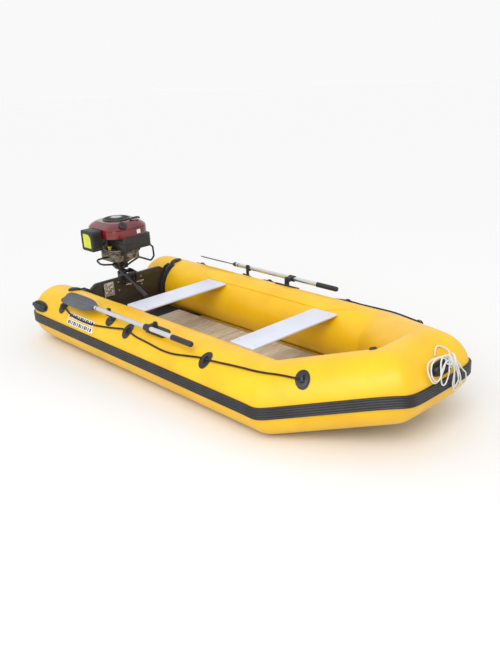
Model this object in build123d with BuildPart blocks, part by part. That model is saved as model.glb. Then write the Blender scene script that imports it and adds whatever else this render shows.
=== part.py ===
"""Inflatable dinghy with rowing oars and a small air-cooled outboard motor.

Millimetres.  +X points to the bow, +Y to port, +Z up.  The origin is on the floor,
under the middle of the hull.  Each piece is written to its own STEP file in parts/.
"""

import os
from math import cos, pi, radians, sin, tan

from build123d import *

os.makedirs("parts", exist_ok=True)

# Hull
TUBE_R = 225
SIDE_Y = 567
STERN_X = -1600
CONE_LENGTH = 193
CORNER_X = 960
BOW_X = 1568
BOW_HALF = 197
BOW_RISE = 134
STRAKE_T = 12
STRAKE_H = 79
SIDES = {"starboard": -1, "port": 1}
FORWARD = Vector(1, 0, 0)
UP = Vector(0, 0, 1)
CLEAR = 0.3
PIN_CLEAR = 0.05

# Floor, transom and seats
BOTTOM_INSET = 153
BOTTOM_Z = 50
BOTTOM_T = 7
BOTTOM_RISE_X = 905
BOTTOM_FRONT_X = 1415
BOTTOM_FRONT_Z = 168
BOARD_HALF = 350
BOARD_Z = 64
BOARD_T = 14
BOARD_EDGES = [-1155, -462, 231, 924]
STRINGER_X = (-860, 895)
TRANSOM_AFT = -1400
TRANSOM_T = 30
TRANSOM_TOP = 450
HOLDER_T = 6
SEAT_X = {"rear": -679, "front": 530}
SEAT_WIDTH = 225
SEAT_HALF = 427
SEAT_Z = 402
SEAT_T = 16

# Lines and their holders: position along the tube and angle above its outer side
LINE_R = 6
LINE_LIFT = 16
HOLDER_PLACES = [(-1244, 45), (-355, 47), (502, 50)]
BOW_HOLDER = (257, 47)
LINE_SAG = {
    0: [(-1110, 34), (-940, 31), (-765, 32), (-540, 40)],
    1: [(-250, 42), (-75, 40), (80, 37), (200, 38), (350, 45)],
    2: [(640, 54), (800, 59)],
}
LINE_TURN = [(966, 63)]
LINE_BOW = [(128.5, 57)]

# Oars, stowed along the side chambers
OAR_Y = 725
OAR_Z = 478
SHAFT_R = 17
GRIP_R = 20
BLADE_TIP = -1215
BLADE_NECK = -740
GRIP_X = (185, 390)
PIN_X = -90
PIN_Y = 662
PIN_R = 8
CLIP_X = -600
BLADE_LEAN = 25

# Motor
MOTOR_X = -1470
TILT_X = -1432
TILT_Z = 470
CHEEK_Y = 56
CHEEK_T = 12
SCREW_Z = 395
SCREW_R = 6
BARREL_R = 24
STEER_R = 16
BARREL_Z = (330, 500)
PROP_Z = 92
TILLER_ROOT = Vector(-1350, -130, 562)
TILLER_TIP = Vector(-840, -200, 412)
FRAME_R = 8


def save(piece, node):
    """Labels a finished piece and writes it under its node name."""
    piece.part.label = node
    export_step(piece.part, f"parts/{node}.step")


def corner(sign):
    """Where the axis of a side chamber meets that of the bow quarter."""
    return Vector(CORNER_X, sign * SIDE_Y, TUBE_R)


def shoulder(sign):
    """Where the axis of a bow quarter meets that of the bow chamber."""
    return Vector(BOW_X, sign * BOW_HALF, TUBE_R + BOW_RISE)


def quarter_run(sign):
    """The direction of a bow quarter, from its corner to its shoulder."""
    return (shoulder(sign) - corner(sign)).normalized()


def corner_mitre(sign):
    """The plane that side chamber and bow quarter are cut on."""
    return Plane(origin=corner(sign), z_dir=FORWARD + quarter_run(sign))


def shoulder_mitre(sign):
    """The plane that bow quarter and bow chamber are cut on."""
    return Plane(origin=shoulder(sign), z_dir=quarter_run(sign) + Vector(0, -sign, 0))


def outward(run, sign):
    """The level direction that points away from the boat, square to a chamber's axis."""
    return Vector(-sign * run.Y, sign * run.X, 0).normalized()


def on_tube(foot, run, sign, angle, lift=0):
    """A plane that lies on a chamber's skin: x along the chamber, z away from its axis."""
    out = outward(run, sign)
    up = (UP - run * run.Z).normalized()
    radial = out * cos(radians(angle)) + up * sin(radians(angle))
    return Plane(origin=foot + radial * (TUBE_R + lift), x_dir=run, z_dir=radial)


def on_side(x, sign, angle, lift=0):
    """A plane on the skin of a side chamber at x."""
    return on_tube(Vector(x, sign * SIDE_Y, TUBE_R), FORWARD, sign, angle, lift)


def on_quarter(along, sign, angle, lift=0):
    """A plane on the skin of a bow quarter, some way along it from the corner."""
    run = quarter_run(sign)
    return on_tube(corner(sign) + run * along, run, sign, angle, lift)


def bend_radii(points, largest):
    """A radius for each bend of a cord, as large as its shorter run allows."""
    radii = []
    for before, at, after in zip(points, points[1:], points[2:]):
        turn = (at - before).get_angle(after - at)
        shorter = min((at - before).length, (after - at).length)
        radii.append(min(largest, 0.45 * shorter / tan(radians(turn / 2))))
    return radii


# --- Air chambers -------------------------------------------------------------------
tubes = {}
for side, sign in SIDES.items():
    with BuildPart() as side_tube:
        with BuildSketch(Plane(origin=(STERN_X, sign * SIDE_Y, TUBE_R), z_dir=FORWARD)):
            Circle(TUBE_R)
        extrude(amount=CORNER_X - STERN_X + TUBE_R)
        split(bisect_by=corner_mitre(sign), keep=Keep.BOTTOM)
    save(side_tube, f"tube_{side}")

    run = quarter_run(sign)
    length = (shoulder(sign) - corner(sign)).length
    with BuildPart() as bow_quarter:
        with BuildSketch(Plane(origin=corner(sign) - run * TUBE_R, z_dir=run)):
            Circle(TUBE_R)
        extrude(amount=length + 2 * TUBE_R)
        split(bisect_by=corner_mitre(sign), keep=Keep.TOP)
        split(bisect_by=shoulder_mitre(sign), keep=Keep.BOTTOM)
    save(bow_quarter, f"bow_quarter_{side}")

    cone_start = Plane(
        origin=(STERN_X, sign * SIDE_Y, TUBE_R), x_dir=(-1, 0, 0), z_dir=(0, 1, 0)
    )
    with BuildPart() as stern_cone:
        with BuildSketch(cone_start):
            with BuildLine():
                EllipticalCenterArc((0, 0), CONE_LENGTH, TUBE_R, start_angle=0, arc_size=90)
                Line((0, TUBE_R), (0, 0))
                Line((0, 0), (CONE_LENGTH, 0))
            make_face()
        revolve(axis=Axis(cone_start.origin, (1, 0, 0)))
    save(stern_cone, f"stern_cone_{side}")
    tubes[sign] = (side_tube.part, bow_quarter.part, stern_cone.part)

with BuildPart() as bow_front:
    with BuildSketch(
        Plane(origin=(BOW_X, -BOW_HALF - TUBE_R, TUBE_R + BOW_RISE), z_dir=(0, 1, 0))
    ):
        Circle(TUBE_R)
    extrude(amount=2 * (BOW_HALF + TUBE_R))
    split(bisect_by=shoulder_mitre(-1), keep=Keep.TOP)
    split(bisect_by=shoulder_mitre(1), keep=Keep.TOP)
save(bow_front, "bow_tube")


# --- Rubbing strake round the outside -------------------------------------------------
STRAKE_DEPTH = 40


strake_runs = {}
for side, sign in SIDES.items():
    run = quarter_run(sign)
    strake_runs[f"side_{side}"] = (
        Plane(origin=(STERN_X, sign * SIDE_Y, TUBE_R), x_dir=(0, sign, 0), z_dir=FORWARD),
        CORNER_X - STERN_X + TUBE_R,
        [(corner_mitre(sign), Keep.BOTTOM)],
    )
    strake_runs[f"quarter_{side}"] = (
        Plane(origin=corner(sign) - run * TUBE_R, x_dir=outward(run, sign), z_dir=run),
        (shoulder(sign) - corner(sign)).length + 2 * TUBE_R,
        [(corner_mitre(sign), Keep.TOP), (shoulder_mitre(sign), Keep.BOTTOM)],
    )
strake_runs["front"] = (
    Plane(
        origin=(BOW_X, -BOW_HALF - TUBE_R, TUBE_R + BOW_RISE), x_dir=(1, 0, 0), z_dir=(0, 1, 0)
    ),
    2 * (BOW_HALF + TUBE_R),
    [(shoulder_mitre(-1), Keep.TOP), (shoulder_mitre(1), Keep.TOP)],
)
strips = {}
for name, (start, length, cuts) in strake_runs.items():
    with BuildPart() as strip:
        with BuildSketch(start):
            with Locations((TUBE_R + STRAKE_T - STRAKE_DEPTH / 2, 0)):
                Rectangle(STRAKE_DEPTH, STRAKE_H)
            Circle(TUBE_R, mode=Mode.SUBTRACT)
        extrude(amount=length)
        for plane, keep in cuts:
            split(bisect_by=plane, keep=keep)
    strips[name] = strip.part

wrap_long = CONE_LENGTH + STRAKE_T
wrap_wide = TUBE_R + STRAKE_T
with BuildPart() as strake:
    with BuildSketch(Plane.XY.offset(TUBE_R - STRAKE_H / 2)):
        with Locations((STERN_X, -SIDE_Y)):
            Ellipse(wrap_long, wrap_wide)
            Ellipse(wrap_long - STRAKE_DEPTH, wrap_wide - STRAKE_DEPTH, mode=Mode.SUBTRACT)
        with Locations((STERN_X - wrap_long / 2, -SIDE_Y - wrap_wide / 2)):
            Rectangle(wrap_long, wrap_wide, mode=Mode.INTERSECT)
    extrude(amount=STRAKE_H)
    add(tubes[-1][2], mode=Mode.SUBTRACT)
    add(strips["side_starboard"])
save(strake, "strake_starboard")
with BuildPart() as strake_mirrored:
    add(mirror(strake.part, about=Plane.XZ, mode=Mode.PRIVATE))
save(strake_mirrored, "strake_port")

with BuildPart() as strake_bow:
    for name in ("quarter_starboard", "front", "quarter_port"):
        add(strips[name])
save(strake_bow, "strake_bow")

# --- Bottom sheet, floor boards and stringers -----------------------------------------
with BuildPart() as hull_bottom:
    with BuildSketch():
        with BuildLine():
            Polyline(
                (TRANSOM_AFT - BOTTOM_INSET, -SIDE_Y),
                (CORNER_X, -SIDE_Y),
                (BOW_X, -BOW_HALF),
                (BOW_X, BOW_HALF),
                (CORNER_X, SIDE_Y),
                (TRANSOM_AFT - BOTTOM_INSET, SIDE_Y),
                close=True,
            )
        make_face()
        offset(amount=-BOTTOM_INSET, kind=Kind.INTERSECTION)
    extrude(amount=TUBE_R + BOW_RISE)
    with BuildSketch(Plane.XZ):
        with BuildLine():
            Polyline(
                (TRANSOM_AFT - 1, BOTTOM_Z),
                (BOTTOM_RISE_X, BOTTOM_Z),
                (BOTTOM_FRONT_X + 1, BOTTOM_FRONT_Z),
                (BOTTOM_FRONT_X + 1, BOTTOM_FRONT_Z + BOTTOM_T),
                (BOTTOM_RISE_X, BOTTOM_Z + BOTTOM_T),
                (TRANSOM_AFT - 1, BOTTOM_Z + BOTTOM_T),
                close=True,
            )
        make_face()
    extrude(amount=SIDE_Y, both=True, mode=Mode.INTERSECT)
save(hull_bottom, "hull_bottom")

BOARD_NAMES = ["stern", "middle", "bow"]
BOARD_JOINT = 1
for place, aft, fore in zip(BOARD_NAMES, BOARD_EDGES, BOARD_EDGES[1:]):
    length = fore - aft - BOARD_JOINT
    with BuildPart() as floor_board:
        with BuildSketch(Plane.XY.offset(BOARD_Z)):
            with Locations(((aft + fore) / 2, 0)):
                Rectangle(length, 2 * BOARD_HALF)
        extrude(amount=BOARD_T)
    save(floor_board, f"floor_board_{place}")

STRINGER_LIP = 4
STRINGER_INNER = 338
STRINGER_OUTER = 384
for side, sign in SIDES.items():
    wide = STRINGER_OUTER - STRINGER_INNER
    with BuildPart() as stringer:
        with BuildSketch(Plane.YZ.offset(STRINGER_X[0])):
            with Locations((sign * (STRINGER_INNER + wide / 2), BOARD_Z + BOARD_T / 2)):
                Rectangle(wide, BOARD_T + 2 * STRINGER_LIP)
            with Locations((sign * (BOARD_HALF / 2 + PIN_CLEAR), BOARD_Z + BOARD_T / 2)):
                Rectangle(BOARD_HALF, BOARD_T + 2 * PIN_CLEAR, mode=Mode.SUBTRACT)
        extrude(amount=STRINGER_X[1] - STRINGER_X[0])
    save(stringer, f"stringer_{side}")

# --- Transom and its holders ------------------------------------------------------------
TRANSOM_FOOT = 62
SHOULDER_Y = 335
SHOULDER_Z = 396
SHOULDER_OUT = 418
SHOULDER_FILLET = 45
with BuildPart() as transom:
    with BuildSketch(Plane.YZ.offset(TRANSOM_AFT)):
        with BuildLine():
            Polyline(
                (-SHOULDER_OUT, TRANSOM_FOOT),
                (SHOULDER_OUT, TRANSOM_FOOT),
                (SHOULDER_OUT, SHOULDER_Z),
                (SHOULDER_Y, TRANSOM_TOP),
                (-SHOULDER_Y, TRANSOM_TOP),
                (-SHOULDER_OUT, SHOULDER_Z),
                close=True,
            )
        outline = make_face()
        fillet(outline.vertices().group_by(Axis.Y)[-1], radius=SHOULDER_FILLET)
        with Locations((-SIDE_Y, TUBE_R), (SIDE_Y, TUBE_R)):
            Circle(TUBE_R + HOLDER_T + CLEAR, mode=Mode.SUBTRACT)
    extrude(amount=TRANSOM_T)
save(transom, "transom_board")

HOLDER_REACH = 28
HOLDER_BASE = (-1440, -1330)
HOLDER_RIBS = [(-1416, TRANSOM_AFT - CLEAR), (TRANSOM_AFT + TRANSOM_T + CLEAR, -1354)]
HOLDER_WINDOW = (SIDE_Y - 150, 252, 230, 366)


def holder_layer(sign, inner, outer, aft, fore):
    """One curved layer of a transom holder, between two radii and two stations."""
    y, z, wide, high = HOLDER_WINDOW
    with BuildPart(mode=Mode.PRIVATE) as layer:
        with BuildSketch(Plane.YZ.offset(aft)):
            with Locations((sign * SIDE_Y, TUBE_R)):
                Circle(outer)
                Circle(inner, mode=Mode.SUBTRACT)
            with Locations((sign * y, z)):
                Rectangle(wide, high, mode=Mode.INTERSECT)
        extrude(amount=fore - aft)
    return layer.part


for side, sign in SIDES.items():
    with BuildPart() as holder:
        add(holder_layer(sign, TUBE_R, TUBE_R + HOLDER_T, *HOLDER_BASE))
        for aft, fore in HOLDER_RIBS:
            add(holder_layer(sign, TUBE_R + HOLDER_T, TUBE_R + HOLDER_REACH, aft, fore))
    save(holder, f"transom_holder_{side}")

BOLT_R = 9
BOLT_HEAD = 7
BOLT_PLACES = [(-120, 412), (-120, 340), (120, 412), (120, 340)]
with BuildPart() as transom_bolts:
    for y, z in BOLT_PLACES:
        with BuildSketch(Plane.YZ.offset(TRANSOM_AFT + TRANSOM_T)):
            with Locations((y, z)):
                RegularPolygon(BOLT_R, 6)
        extrude(amount=BOLT_HEAD)
save(transom_bolts, "transom_bolts")

# --- Seats and the flaps that carry them ------------------------------------------------
SEAT_CORNER = 14
for place, x in SEAT_X.items():
    with BuildPart() as seat:
        with BuildSketch(Plane.XY.offset(SEAT_Z)):
            with Locations((x, 0)):
                RectangleRounded(SEAT_WIDTH, 2 * SEAT_HALF, SEAT_CORNER)
        extrude(amount=SEAT_T)
    save(seat, f"seat_{place}")

RAIL_X = (-980, 690)
RAIL_T = 4
RAIL_ANGLES = (56, 74)
WEDGE = 400
for side, sign in SIDES.items():
    middle = (RAIL_X[0] + RAIL_X[1]) / 2
    inward = Plane(origin=(middle, sign * SIDE_Y, TUBE_R), x_dir=(0, -sign, 0), z_dir=(-sign, 0, 0))
    low, high = (radians(angle) for angle in RAIL_ANGLES)
    with BuildPart() as seat_rail:
        with BuildSketch(inward):
            Circle(TUBE_R + RAIL_T)
            Circle(TUBE_R, mode=Mode.SUBTRACT)
            Polygon(
                (0, 0),
                (WEDGE * cos(low), WEDGE * sin(low)),
                (WEDGE * cos(high), WEDGE * sin(high)),
                align=None,
                mode=Mode.INTERSECT,
            )
        extrude(amount=(RAIL_X[1] - RAIL_X[0]) / 2, both=True)
    save(seat_rail, f"seat_rail_{side}")

# --- Grab lines and the moulded holders that they run through ----------------------------
PAD_T = 8
PAD_SINK = 14
PAD_ALONG = 48
PAD_ACROSS = 66
LOOP_ALONG = 26
LOOP_ACROSS = 34
LOOP_TOP = 27
LOOP_HOLE_R = LINE_R + 1


def pad_places(sign):
    """The skin planes of one side's holders, from stern to bow."""
    places = [on_side(x, sign, angle) for x, angle in HOLDER_PLACES]
    return places + [on_quarter(BOW_HOLDER[0], sign, BOW_HOLDER[1])]


with BuildPart() as line_holders:
    for sign in SIDES.values():
        for skin in pad_places(sign):
            with BuildSketch(skin.offset(-PAD_SINK)):
                Ellipse(PAD_ALONG, PAD_ACROSS)
            extrude(amount=PAD_SINK + PAD_T)
            with BuildSketch(skin):
                RectangleRounded(LOOP_ALONG, LOOP_ACROSS, 8)
            extrude(amount=LOOP_TOP)
            across = Plane(origin=skin.origin + skin.z_dir * LINE_LIFT, z_dir=skin.x_dir)
            with BuildSketch(across):
                Circle(LOOP_HOLE_R)
            extrude(amount=PAD_ALONG, both=True, mode=Mode.SUBTRACT)
        for tube in tubes[sign]:
            add(tube, mode=Mode.SUBTRACT)
save(line_holders, "line_holders")

LINE_REST = 8.5
END_STUB = 28
LINE_BEND = 300


def line_route(sign):
    """The points that one side's grab line runs through, from stern to bow."""
    points = []
    first = on_side(HOLDER_PLACES[0][0], sign, HOLDER_PLACES[0][1], LINE_LIFT)
    points.append(first.origin - first.x_dir * END_STUB)
    for index, (x, angle) in enumerate(HOLDER_PLACES):
        hold = on_side(x, sign, angle, LINE_LIFT)
        if index:
            points.append(hold.origin - hold.x_dir * END_STUB)
        points.append(hold.origin + hold.x_dir * END_STUB)
        points += [on_side(at, sign, rise, LINE_REST).origin for at, rise in LINE_SAG[index]]
    for at, rise in LINE_TURN:
        points.append(on_side(at, sign, rise, LINE_REST).origin)
    for along, rise in LINE_BOW:
        points.append(on_quarter(along, sign, rise, LINE_REST).origin)
    along_holder, holder_angle = BOW_HOLDER
    last = on_quarter(along_holder, sign, holder_angle, LINE_LIFT)
    points.append(last.origin - last.x_dir * END_STUB)
    points.append(last.origin + last.x_dir * END_STUB)
    return points


for side, sign in SIDES.items():
    route = line_route(sign)
    radii = bend_radii(route, LINE_BEND)
    print(f"grab_line_{side} smallest bend radius {min(radii):.0f}")
    with BuildPart() as grab_line:
        with BuildLine() as path:
            FilletPolyline(*route, radius=radii)
        with BuildSketch(Plane(origin=route[0], z_dir=route[1] - route[0])):
            Circle(LINE_R)
        sweep(path=path.wires()[0])
    length = path.wires()[0].length
    share = grab_line.part.volume / (length * pi * LINE_R**2)
    print(f"grab_line_{side} length {length:.0f}, volume against section x length {share:.4f}")
    save(grab_line, f"grab_line_{side}")

# --- Lifting handles ----------------------------------------------------------------------
HANDLE_X = -1565
HANDLE_ANGLE = 27
HANDLE_PAD = (235, 92)
HANDLE_BAR = (190, 34)
HANDLE_TOP = 48
FINGER_GAP = (120, 9, 36)


def moulded_handle(skin):
    """A rubber pad with a bar over a finger gap, before the chamber is cut out of it."""
    with BuildPart(mode=Mode.PRIVATE) as handle:
        with BuildSketch(skin.offset(-2 * PAD_SINK)):
            RectangleRounded(*HANDLE_PAD, 30)
        extrude(amount=2 * PAD_SINK + PAD_T)
        with BuildSketch(skin):
            RectangleRounded(*HANDLE_BAR, 14)
        extrude(amount=HANDLE_TOP)
        long, low, high = FINGER_GAP
        with BuildSketch(skin.offset(low)):
            Rectangle(long, 2 * HANDLE_BAR[1])
        extrude(amount=high - low, mode=Mode.SUBTRACT)
    return handle.part


with BuildPart() as stern_handles:
    for sign in SIDES.values():
        add(moulded_handle(on_side(HANDLE_X, sign, HANDLE_ANGLE)))
        for tube in tubes[sign]:
            add(tube, mode=Mode.SUBTRACT)
save(stern_handles, "stern_handles")

BOW_HANDLE_Y = 20
BOW_HANDLE_ANGLE = 27
BOW_PATCH_R = 52
BOW_PATCH_GAP = 96
bow_axis = Vector(BOW_X, BOW_HANDLE_Y, TUBE_R + BOW_RISE)
bow_skin = on_tube(bow_axis, Vector(0, 1, 0), -1, BOW_HANDLE_ANGLE)
with BuildPart() as bow_handle:
    with BuildSketch(bow_skin.offset(-PAD_SINK)):
        with Locations((-BOW_PATCH_GAP, 0), (BOW_PATCH_GAP, 0)):
            Circle(BOW_PATCH_R)
        Rectangle(2 * BOW_PATCH_GAP, BOW_PATCH_R)
    extrude(amount=PAD_SINK + PAD_T)
    with BuildSketch(bow_skin):
        RectangleRounded(*HANDLE_BAR, 14)
    extrude(amount=HANDLE_TOP)
    with BuildSketch(bow_skin.offset(FINGER_GAP[1])):
        Rectangle(FINGER_GAP[0], 2 * HANDLE_BAR[1])
    extrude(amount=FINGER_GAP[2] - FINGER_GAP[1], mode=Mode.SUBTRACT)
    add(bow_front.part, mode=Mode.SUBTRACT)
save(bow_handle, "bow_handle")

# Blocks of the hank: across the boat, degrees above the front, and off the skin
HANK_BLOCKS = [
    ((-150, 200), (-14, 21), (18, 62)),
    ((-150, -80), (20, 42), (14, 62)),
    ((-80, 200), (20, 42), (HANDLE_TOP + 1.5, 96)),
    ((-10, 125), (41, 56), (3, 62)),
]
with BuildPart() as painter_hank:
    for (across_low, across_high), angles, (lift_low, lift_high) in HANK_BLOCKS:
        low, high = (radians(angle) for angle in angles)
        hank_side = Plane(
            origin=(BOW_X, across_low, TUBE_R + BOW_RISE), x_dir=(1, 0, 0), z_dir=(0, 1, 0)
        )
        with BuildSketch(hank_side):
            Circle(TUBE_R + lift_high)
            Circle(TUBE_R + lift_low, mode=Mode.SUBTRACT)
            Polygon(
                (0, 0),
                (WEDGE * cos(low), -WEDGE * sin(low)),
                (WEDGE * cos(high), -WEDGE * sin(high)),
                align=None,
                mode=Mode.INTERSECT,
            )
        extrude(amount=across_high - across_low)
save(painter_hank, "painter_hank")

VALVE_R = 25
VALVE_T = 7
VALVE_CAP_R = 18
VALVE_CAP_T = 6
valve_planes = [(on_quarter(655, -1, 106), tubes[-1][1])]
for sign in SIDES.values():
    valve_planes.append((on_side(-1520, sign, 150), tubes[sign][0]))
with BuildPart() as air_valves:
    for skin, tube in valve_planes:
        with BuildSketch(skin.offset(-VALVE_T)):
            Circle(VALVE_R)
        extrude(amount=2 * VALVE_T)
        with BuildSketch(skin.offset(VALVE_T)):
            Circle(VALVE_CAP_R)
        extrude(amount=VALVE_CAP_T)
        add(tube, mode=Mode.SUBTRACT)
save(air_valves, "air_valves")

# --- Oars, with their rowlocks and stowing clips -------------------------------------------
COLLAR_R = 25
COLLAR_W = 56
LUG_R = 19
LUG_Z = (461, 497)
LUG_W = 32
BOSS_R = 20
NUT_R = 13
ROWLOCK_PAD = (240, 84)
ROWLOCK_ANGLE = 68
SOCKET_R = 21
SOCKET_LENGTH = 70
BLADE_HALF = 66
BLADE_T = 7
CLIP_W = 30
CLIP_ANGLE = 54
CLIP_PAD = (44, 50)
CLIP_WALL = 9
CLIP_FOOT = 44
CLIP_SHELF = 6
SHAFT_X = (BLADE_NECK - SOCKET_LENGTH / 2, GRIP_X[1] - 20)

with BuildPart() as rowlocks:
    for sign in SIDES.values():
        skin = on_side(PIN_X + 10, sign, ROWLOCK_ANGLE)
        with BuildSketch(skin.offset(-PAD_SINK)):
            RectangleRounded(*ROWLOCK_PAD, 38)
        extrude(amount=PAD_SINK + PAD_T)
        pin_foot = Plane(origin=(PIN_X, sign * PIN_Y, TUBE_R + TUBE_R / 2))
        with BuildSketch(pin_foot):
            Circle(BOSS_R)
        extrude(amount=LUG_Z[0] - CLEAR - pin_foot.origin.Z)
        with BuildSketch(pin_foot):
            Circle(PIN_R)
        extrude(amount=LUG_Z[1] + CLEAR - pin_foot.origin.Z)
        with BuildSketch(Plane(origin=(PIN_X, sign * PIN_Y, LUG_Z[1] + CLEAR))):
            Circle(NUT_R)
        extrude(amount=PIN_R)
        add(tubes[sign][0], mode=Mode.SUBTRACT)
save(rowlocks, "rowlocks")

with BuildPart() as oar_clips:
    for sign in SIDES.values():
        with BuildSketch(on_side(CLIP_X, sign, CLIP_ANGLE).offset(-PAD_SINK)):
            Ellipse(*CLIP_PAD)
        extrude(amount=PAD_SINK + PAD_T)
        inner = OAR_Y - SHAFT_R - CLEAR
        jaw_middle = SHAFT_R + CLEAR + CLIP_WALL / 2
        with BuildSketch(Plane.YZ.offset(CLIP_X - CLIP_W / 2)):
            with Locations((sign * (inner - CLIP_WALL / 2), OAR_Z - CLIP_FOOT / 2)):
                Rectangle(CLIP_WALL, 2 * SHAFT_R + 2 * CLIP_WALL + CLIP_FOOT)
            with Locations((sign * (inner + CLIP_SHELF), OAR_Z - jaw_middle)):
                Rectangle(2 * SHAFT_R, CLIP_WALL)
            with Locations((sign * (inner + CLIP_SHELF / 2), OAR_Z + jaw_middle)):
                Rectangle(SHAFT_R, CLIP_WALL)
        extrude(amount=CLIP_W)
        add(tubes[sign][0], mode=Mode.SUBTRACT)
save(oar_clips, "oar_clips")

for side, sign in SIDES.items():
    oar_axis = Plane(origin=(0, sign * OAR_Y, OAR_Z), z_dir=FORWARD)
    with BuildPart() as oar_shaft:
        with BuildSketch(oar_axis.offset(SHAFT_X[0])):
            Circle(SHAFT_R)
        extrude(amount=SHAFT_X[1] - SHAFT_X[0])
    save(oar_shaft, f"oar_shaft_{side}")

    with BuildPart() as oar_grip:
        with BuildSketch(oar_axis.offset(GRIP_X[0])):
            Circle(GRIP_R)
        extrude(amount=GRIP_X[1] - GRIP_X[0])
        fillet(oar_grip.faces().sort_by(Axis.X)[-1].edges(), radius=8)
        add(oar_shaft.part, mode=Mode.SUBTRACT)
    save(oar_grip, f"oar_grip_{side}")

    with BuildPart() as oar_collar:
        with BuildSketch(oar_axis.offset(PIN_X - COLLAR_W / 2)):
            Circle(COLLAR_R)
        extrude(amount=COLLAR_W)
        with BuildSketch(Plane.XY.offset(LUG_Z[0])):
            with Locations((PIN_X, sign * PIN_Y)):
                Circle(LUG_R)
            with Locations((PIN_X, sign * (PIN_Y + OAR_Y) / 2)):
                Rectangle(LUG_W, OAR_Y - PIN_Y)
        extrude(amount=LUG_Z[1] - LUG_Z[0])
        with BuildSketch(Plane.XY.offset(LUG_Z[0])):
            with Locations((PIN_X, sign * PIN_Y)):
                Circle(PIN_R + PIN_CLEAR)
        extrude(amount=LUG_Z[1], mode=Mode.SUBTRACT)
        add(oar_shaft.part, mode=Mode.SUBTRACT)
    save(oar_collar, f"oar_collar_{side}")

    lean = radians(BLADE_LEAN)
    blade_plane = Plane(
        origin=(0, sign * OAR_Y, OAR_Z),
        x_dir=(1, 0, 0),
        z_dir=(0, sign * sin(lean), cos(lean)),
    )
    with BuildPart() as oar_blade:
        with BuildSketch(blade_plane):
            with BuildLine():
                Polyline(
                    (BLADE_NECK, SOCKET_R - 4),
                    (BLADE_NECK - 70, BLADE_HALF - 14),
                    (BLADE_NECK - 150, BLADE_HALF),
                    (BLADE_TIP + 60, BLADE_HALF),
                    (BLADE_TIP, BLADE_HALF - 24),
                    (BLADE_TIP, 24 - BLADE_HALF),
                    (BLADE_TIP + 60, -BLADE_HALF),
                    (BLADE_NECK - 150, -BLADE_HALF),
                    (BLADE_NECK - 70, 14 - BLADE_HALF),
                    (BLADE_NECK, 4 - SOCKET_R),
                    close=True,
                )
            face = make_face()
            fillet(face.vertices(), radius=12)
        extrude(amount=BLADE_T / 2, both=True)
        with BuildSketch(oar_axis.offset(BLADE_NECK - SOCKET_LENGTH)):
            Circle(SOCKET_R)
        extrude(amount=SOCKET_LENGTH + 20)
        add(oar_shaft.part, mode=Mode.SUBTRACT)
    save(oar_blade, f"oar_blade_{side}")


# --- Clamp bracket, its screws and the swivel bracket ---------------------------------------
CHEEK_TOP = 488
ARM_X = (-1357, -1330)
ARM_FOOT = 370
BOSS_OUT = 13
TILT_PIN_R = 8
TILT_EYE_R = 16
with BuildPart() as clamp_bracket:
    for sign in SIDES.values():
        with BuildSketch(Plane.XZ.offset(-sign * CHEEK_Y)):
            with BuildLine():
                Polyline(
                    (-1456, 430),
                    (-1456, CHEEK_TOP - 10),
                    (-1446, CHEEK_TOP),
                    (TRANSOM_AFT, CHEEK_TOP),
                    (ARM_X[1], CHEEK_TOP - 14),
                    (ARM_X[1], ARM_FOOT),
                    (ARM_X[0], ARM_FOOT),
                    (ARM_X[0], TRANSOM_TOP + CLEAR),
                    (TRANSOM_AFT - CLEAR, TRANSOM_TOP + CLEAR),
                    (TRANSOM_AFT - CLEAR, 300),
                    (TRANSOM_AFT - CHEEK_T, 300),
                    (TRANSOM_AFT - CHEEK_T, 420),
                    close=True,
                )
            make_face()
        extrude(amount=CHEEK_T / 2, both=True)
        with BuildSketch(Plane.YZ.offset(ARM_X[0])):
            with Locations((sign * CHEEK_Y, SCREW_Z)):
                Circle(BOSS_OUT)
        extrude(amount=ARM_X[1] - ARM_X[0])
    plate_y = 2 * CHEEK_Y + CHEEK_T
    with BuildSketch(Plane.YZ.offset(TRANSOM_AFT - CHEEK_T)):
        with Locations((0, 380)):
            Rectangle(plate_y, 100)
    extrude(amount=CHEEK_T - CLEAR)
    with BuildSketch(Plane.YZ.offset(ARM_X[0])):
        with Locations((0, TRANSOM_TOP + 14)):
            Rectangle(plate_y, 20)
    extrude(amount=ARM_X[1] - ARM_X[0])
    with BuildSketch(Plane.XZ):
        with Locations((TILT_X, TILT_Z)):
            Circle(TILT_PIN_R + PIN_CLEAR)
    extrude(amount=2 * CHEEK_Y, both=True, mode=Mode.SUBTRACT)
    with BuildSketch(Plane.YZ.offset(ARM_X[0])):
        with Locations((-CHEEK_Y, SCREW_Z), (CHEEK_Y, SCREW_Z)):
            Circle(SCREW_R + PIN_CLEAR)
    extrude(amount=ARM_X[1] - ARM_X[0], mode=Mode.SUBTRACT)
save(clamp_bracket, "clamp_bracket")

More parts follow.
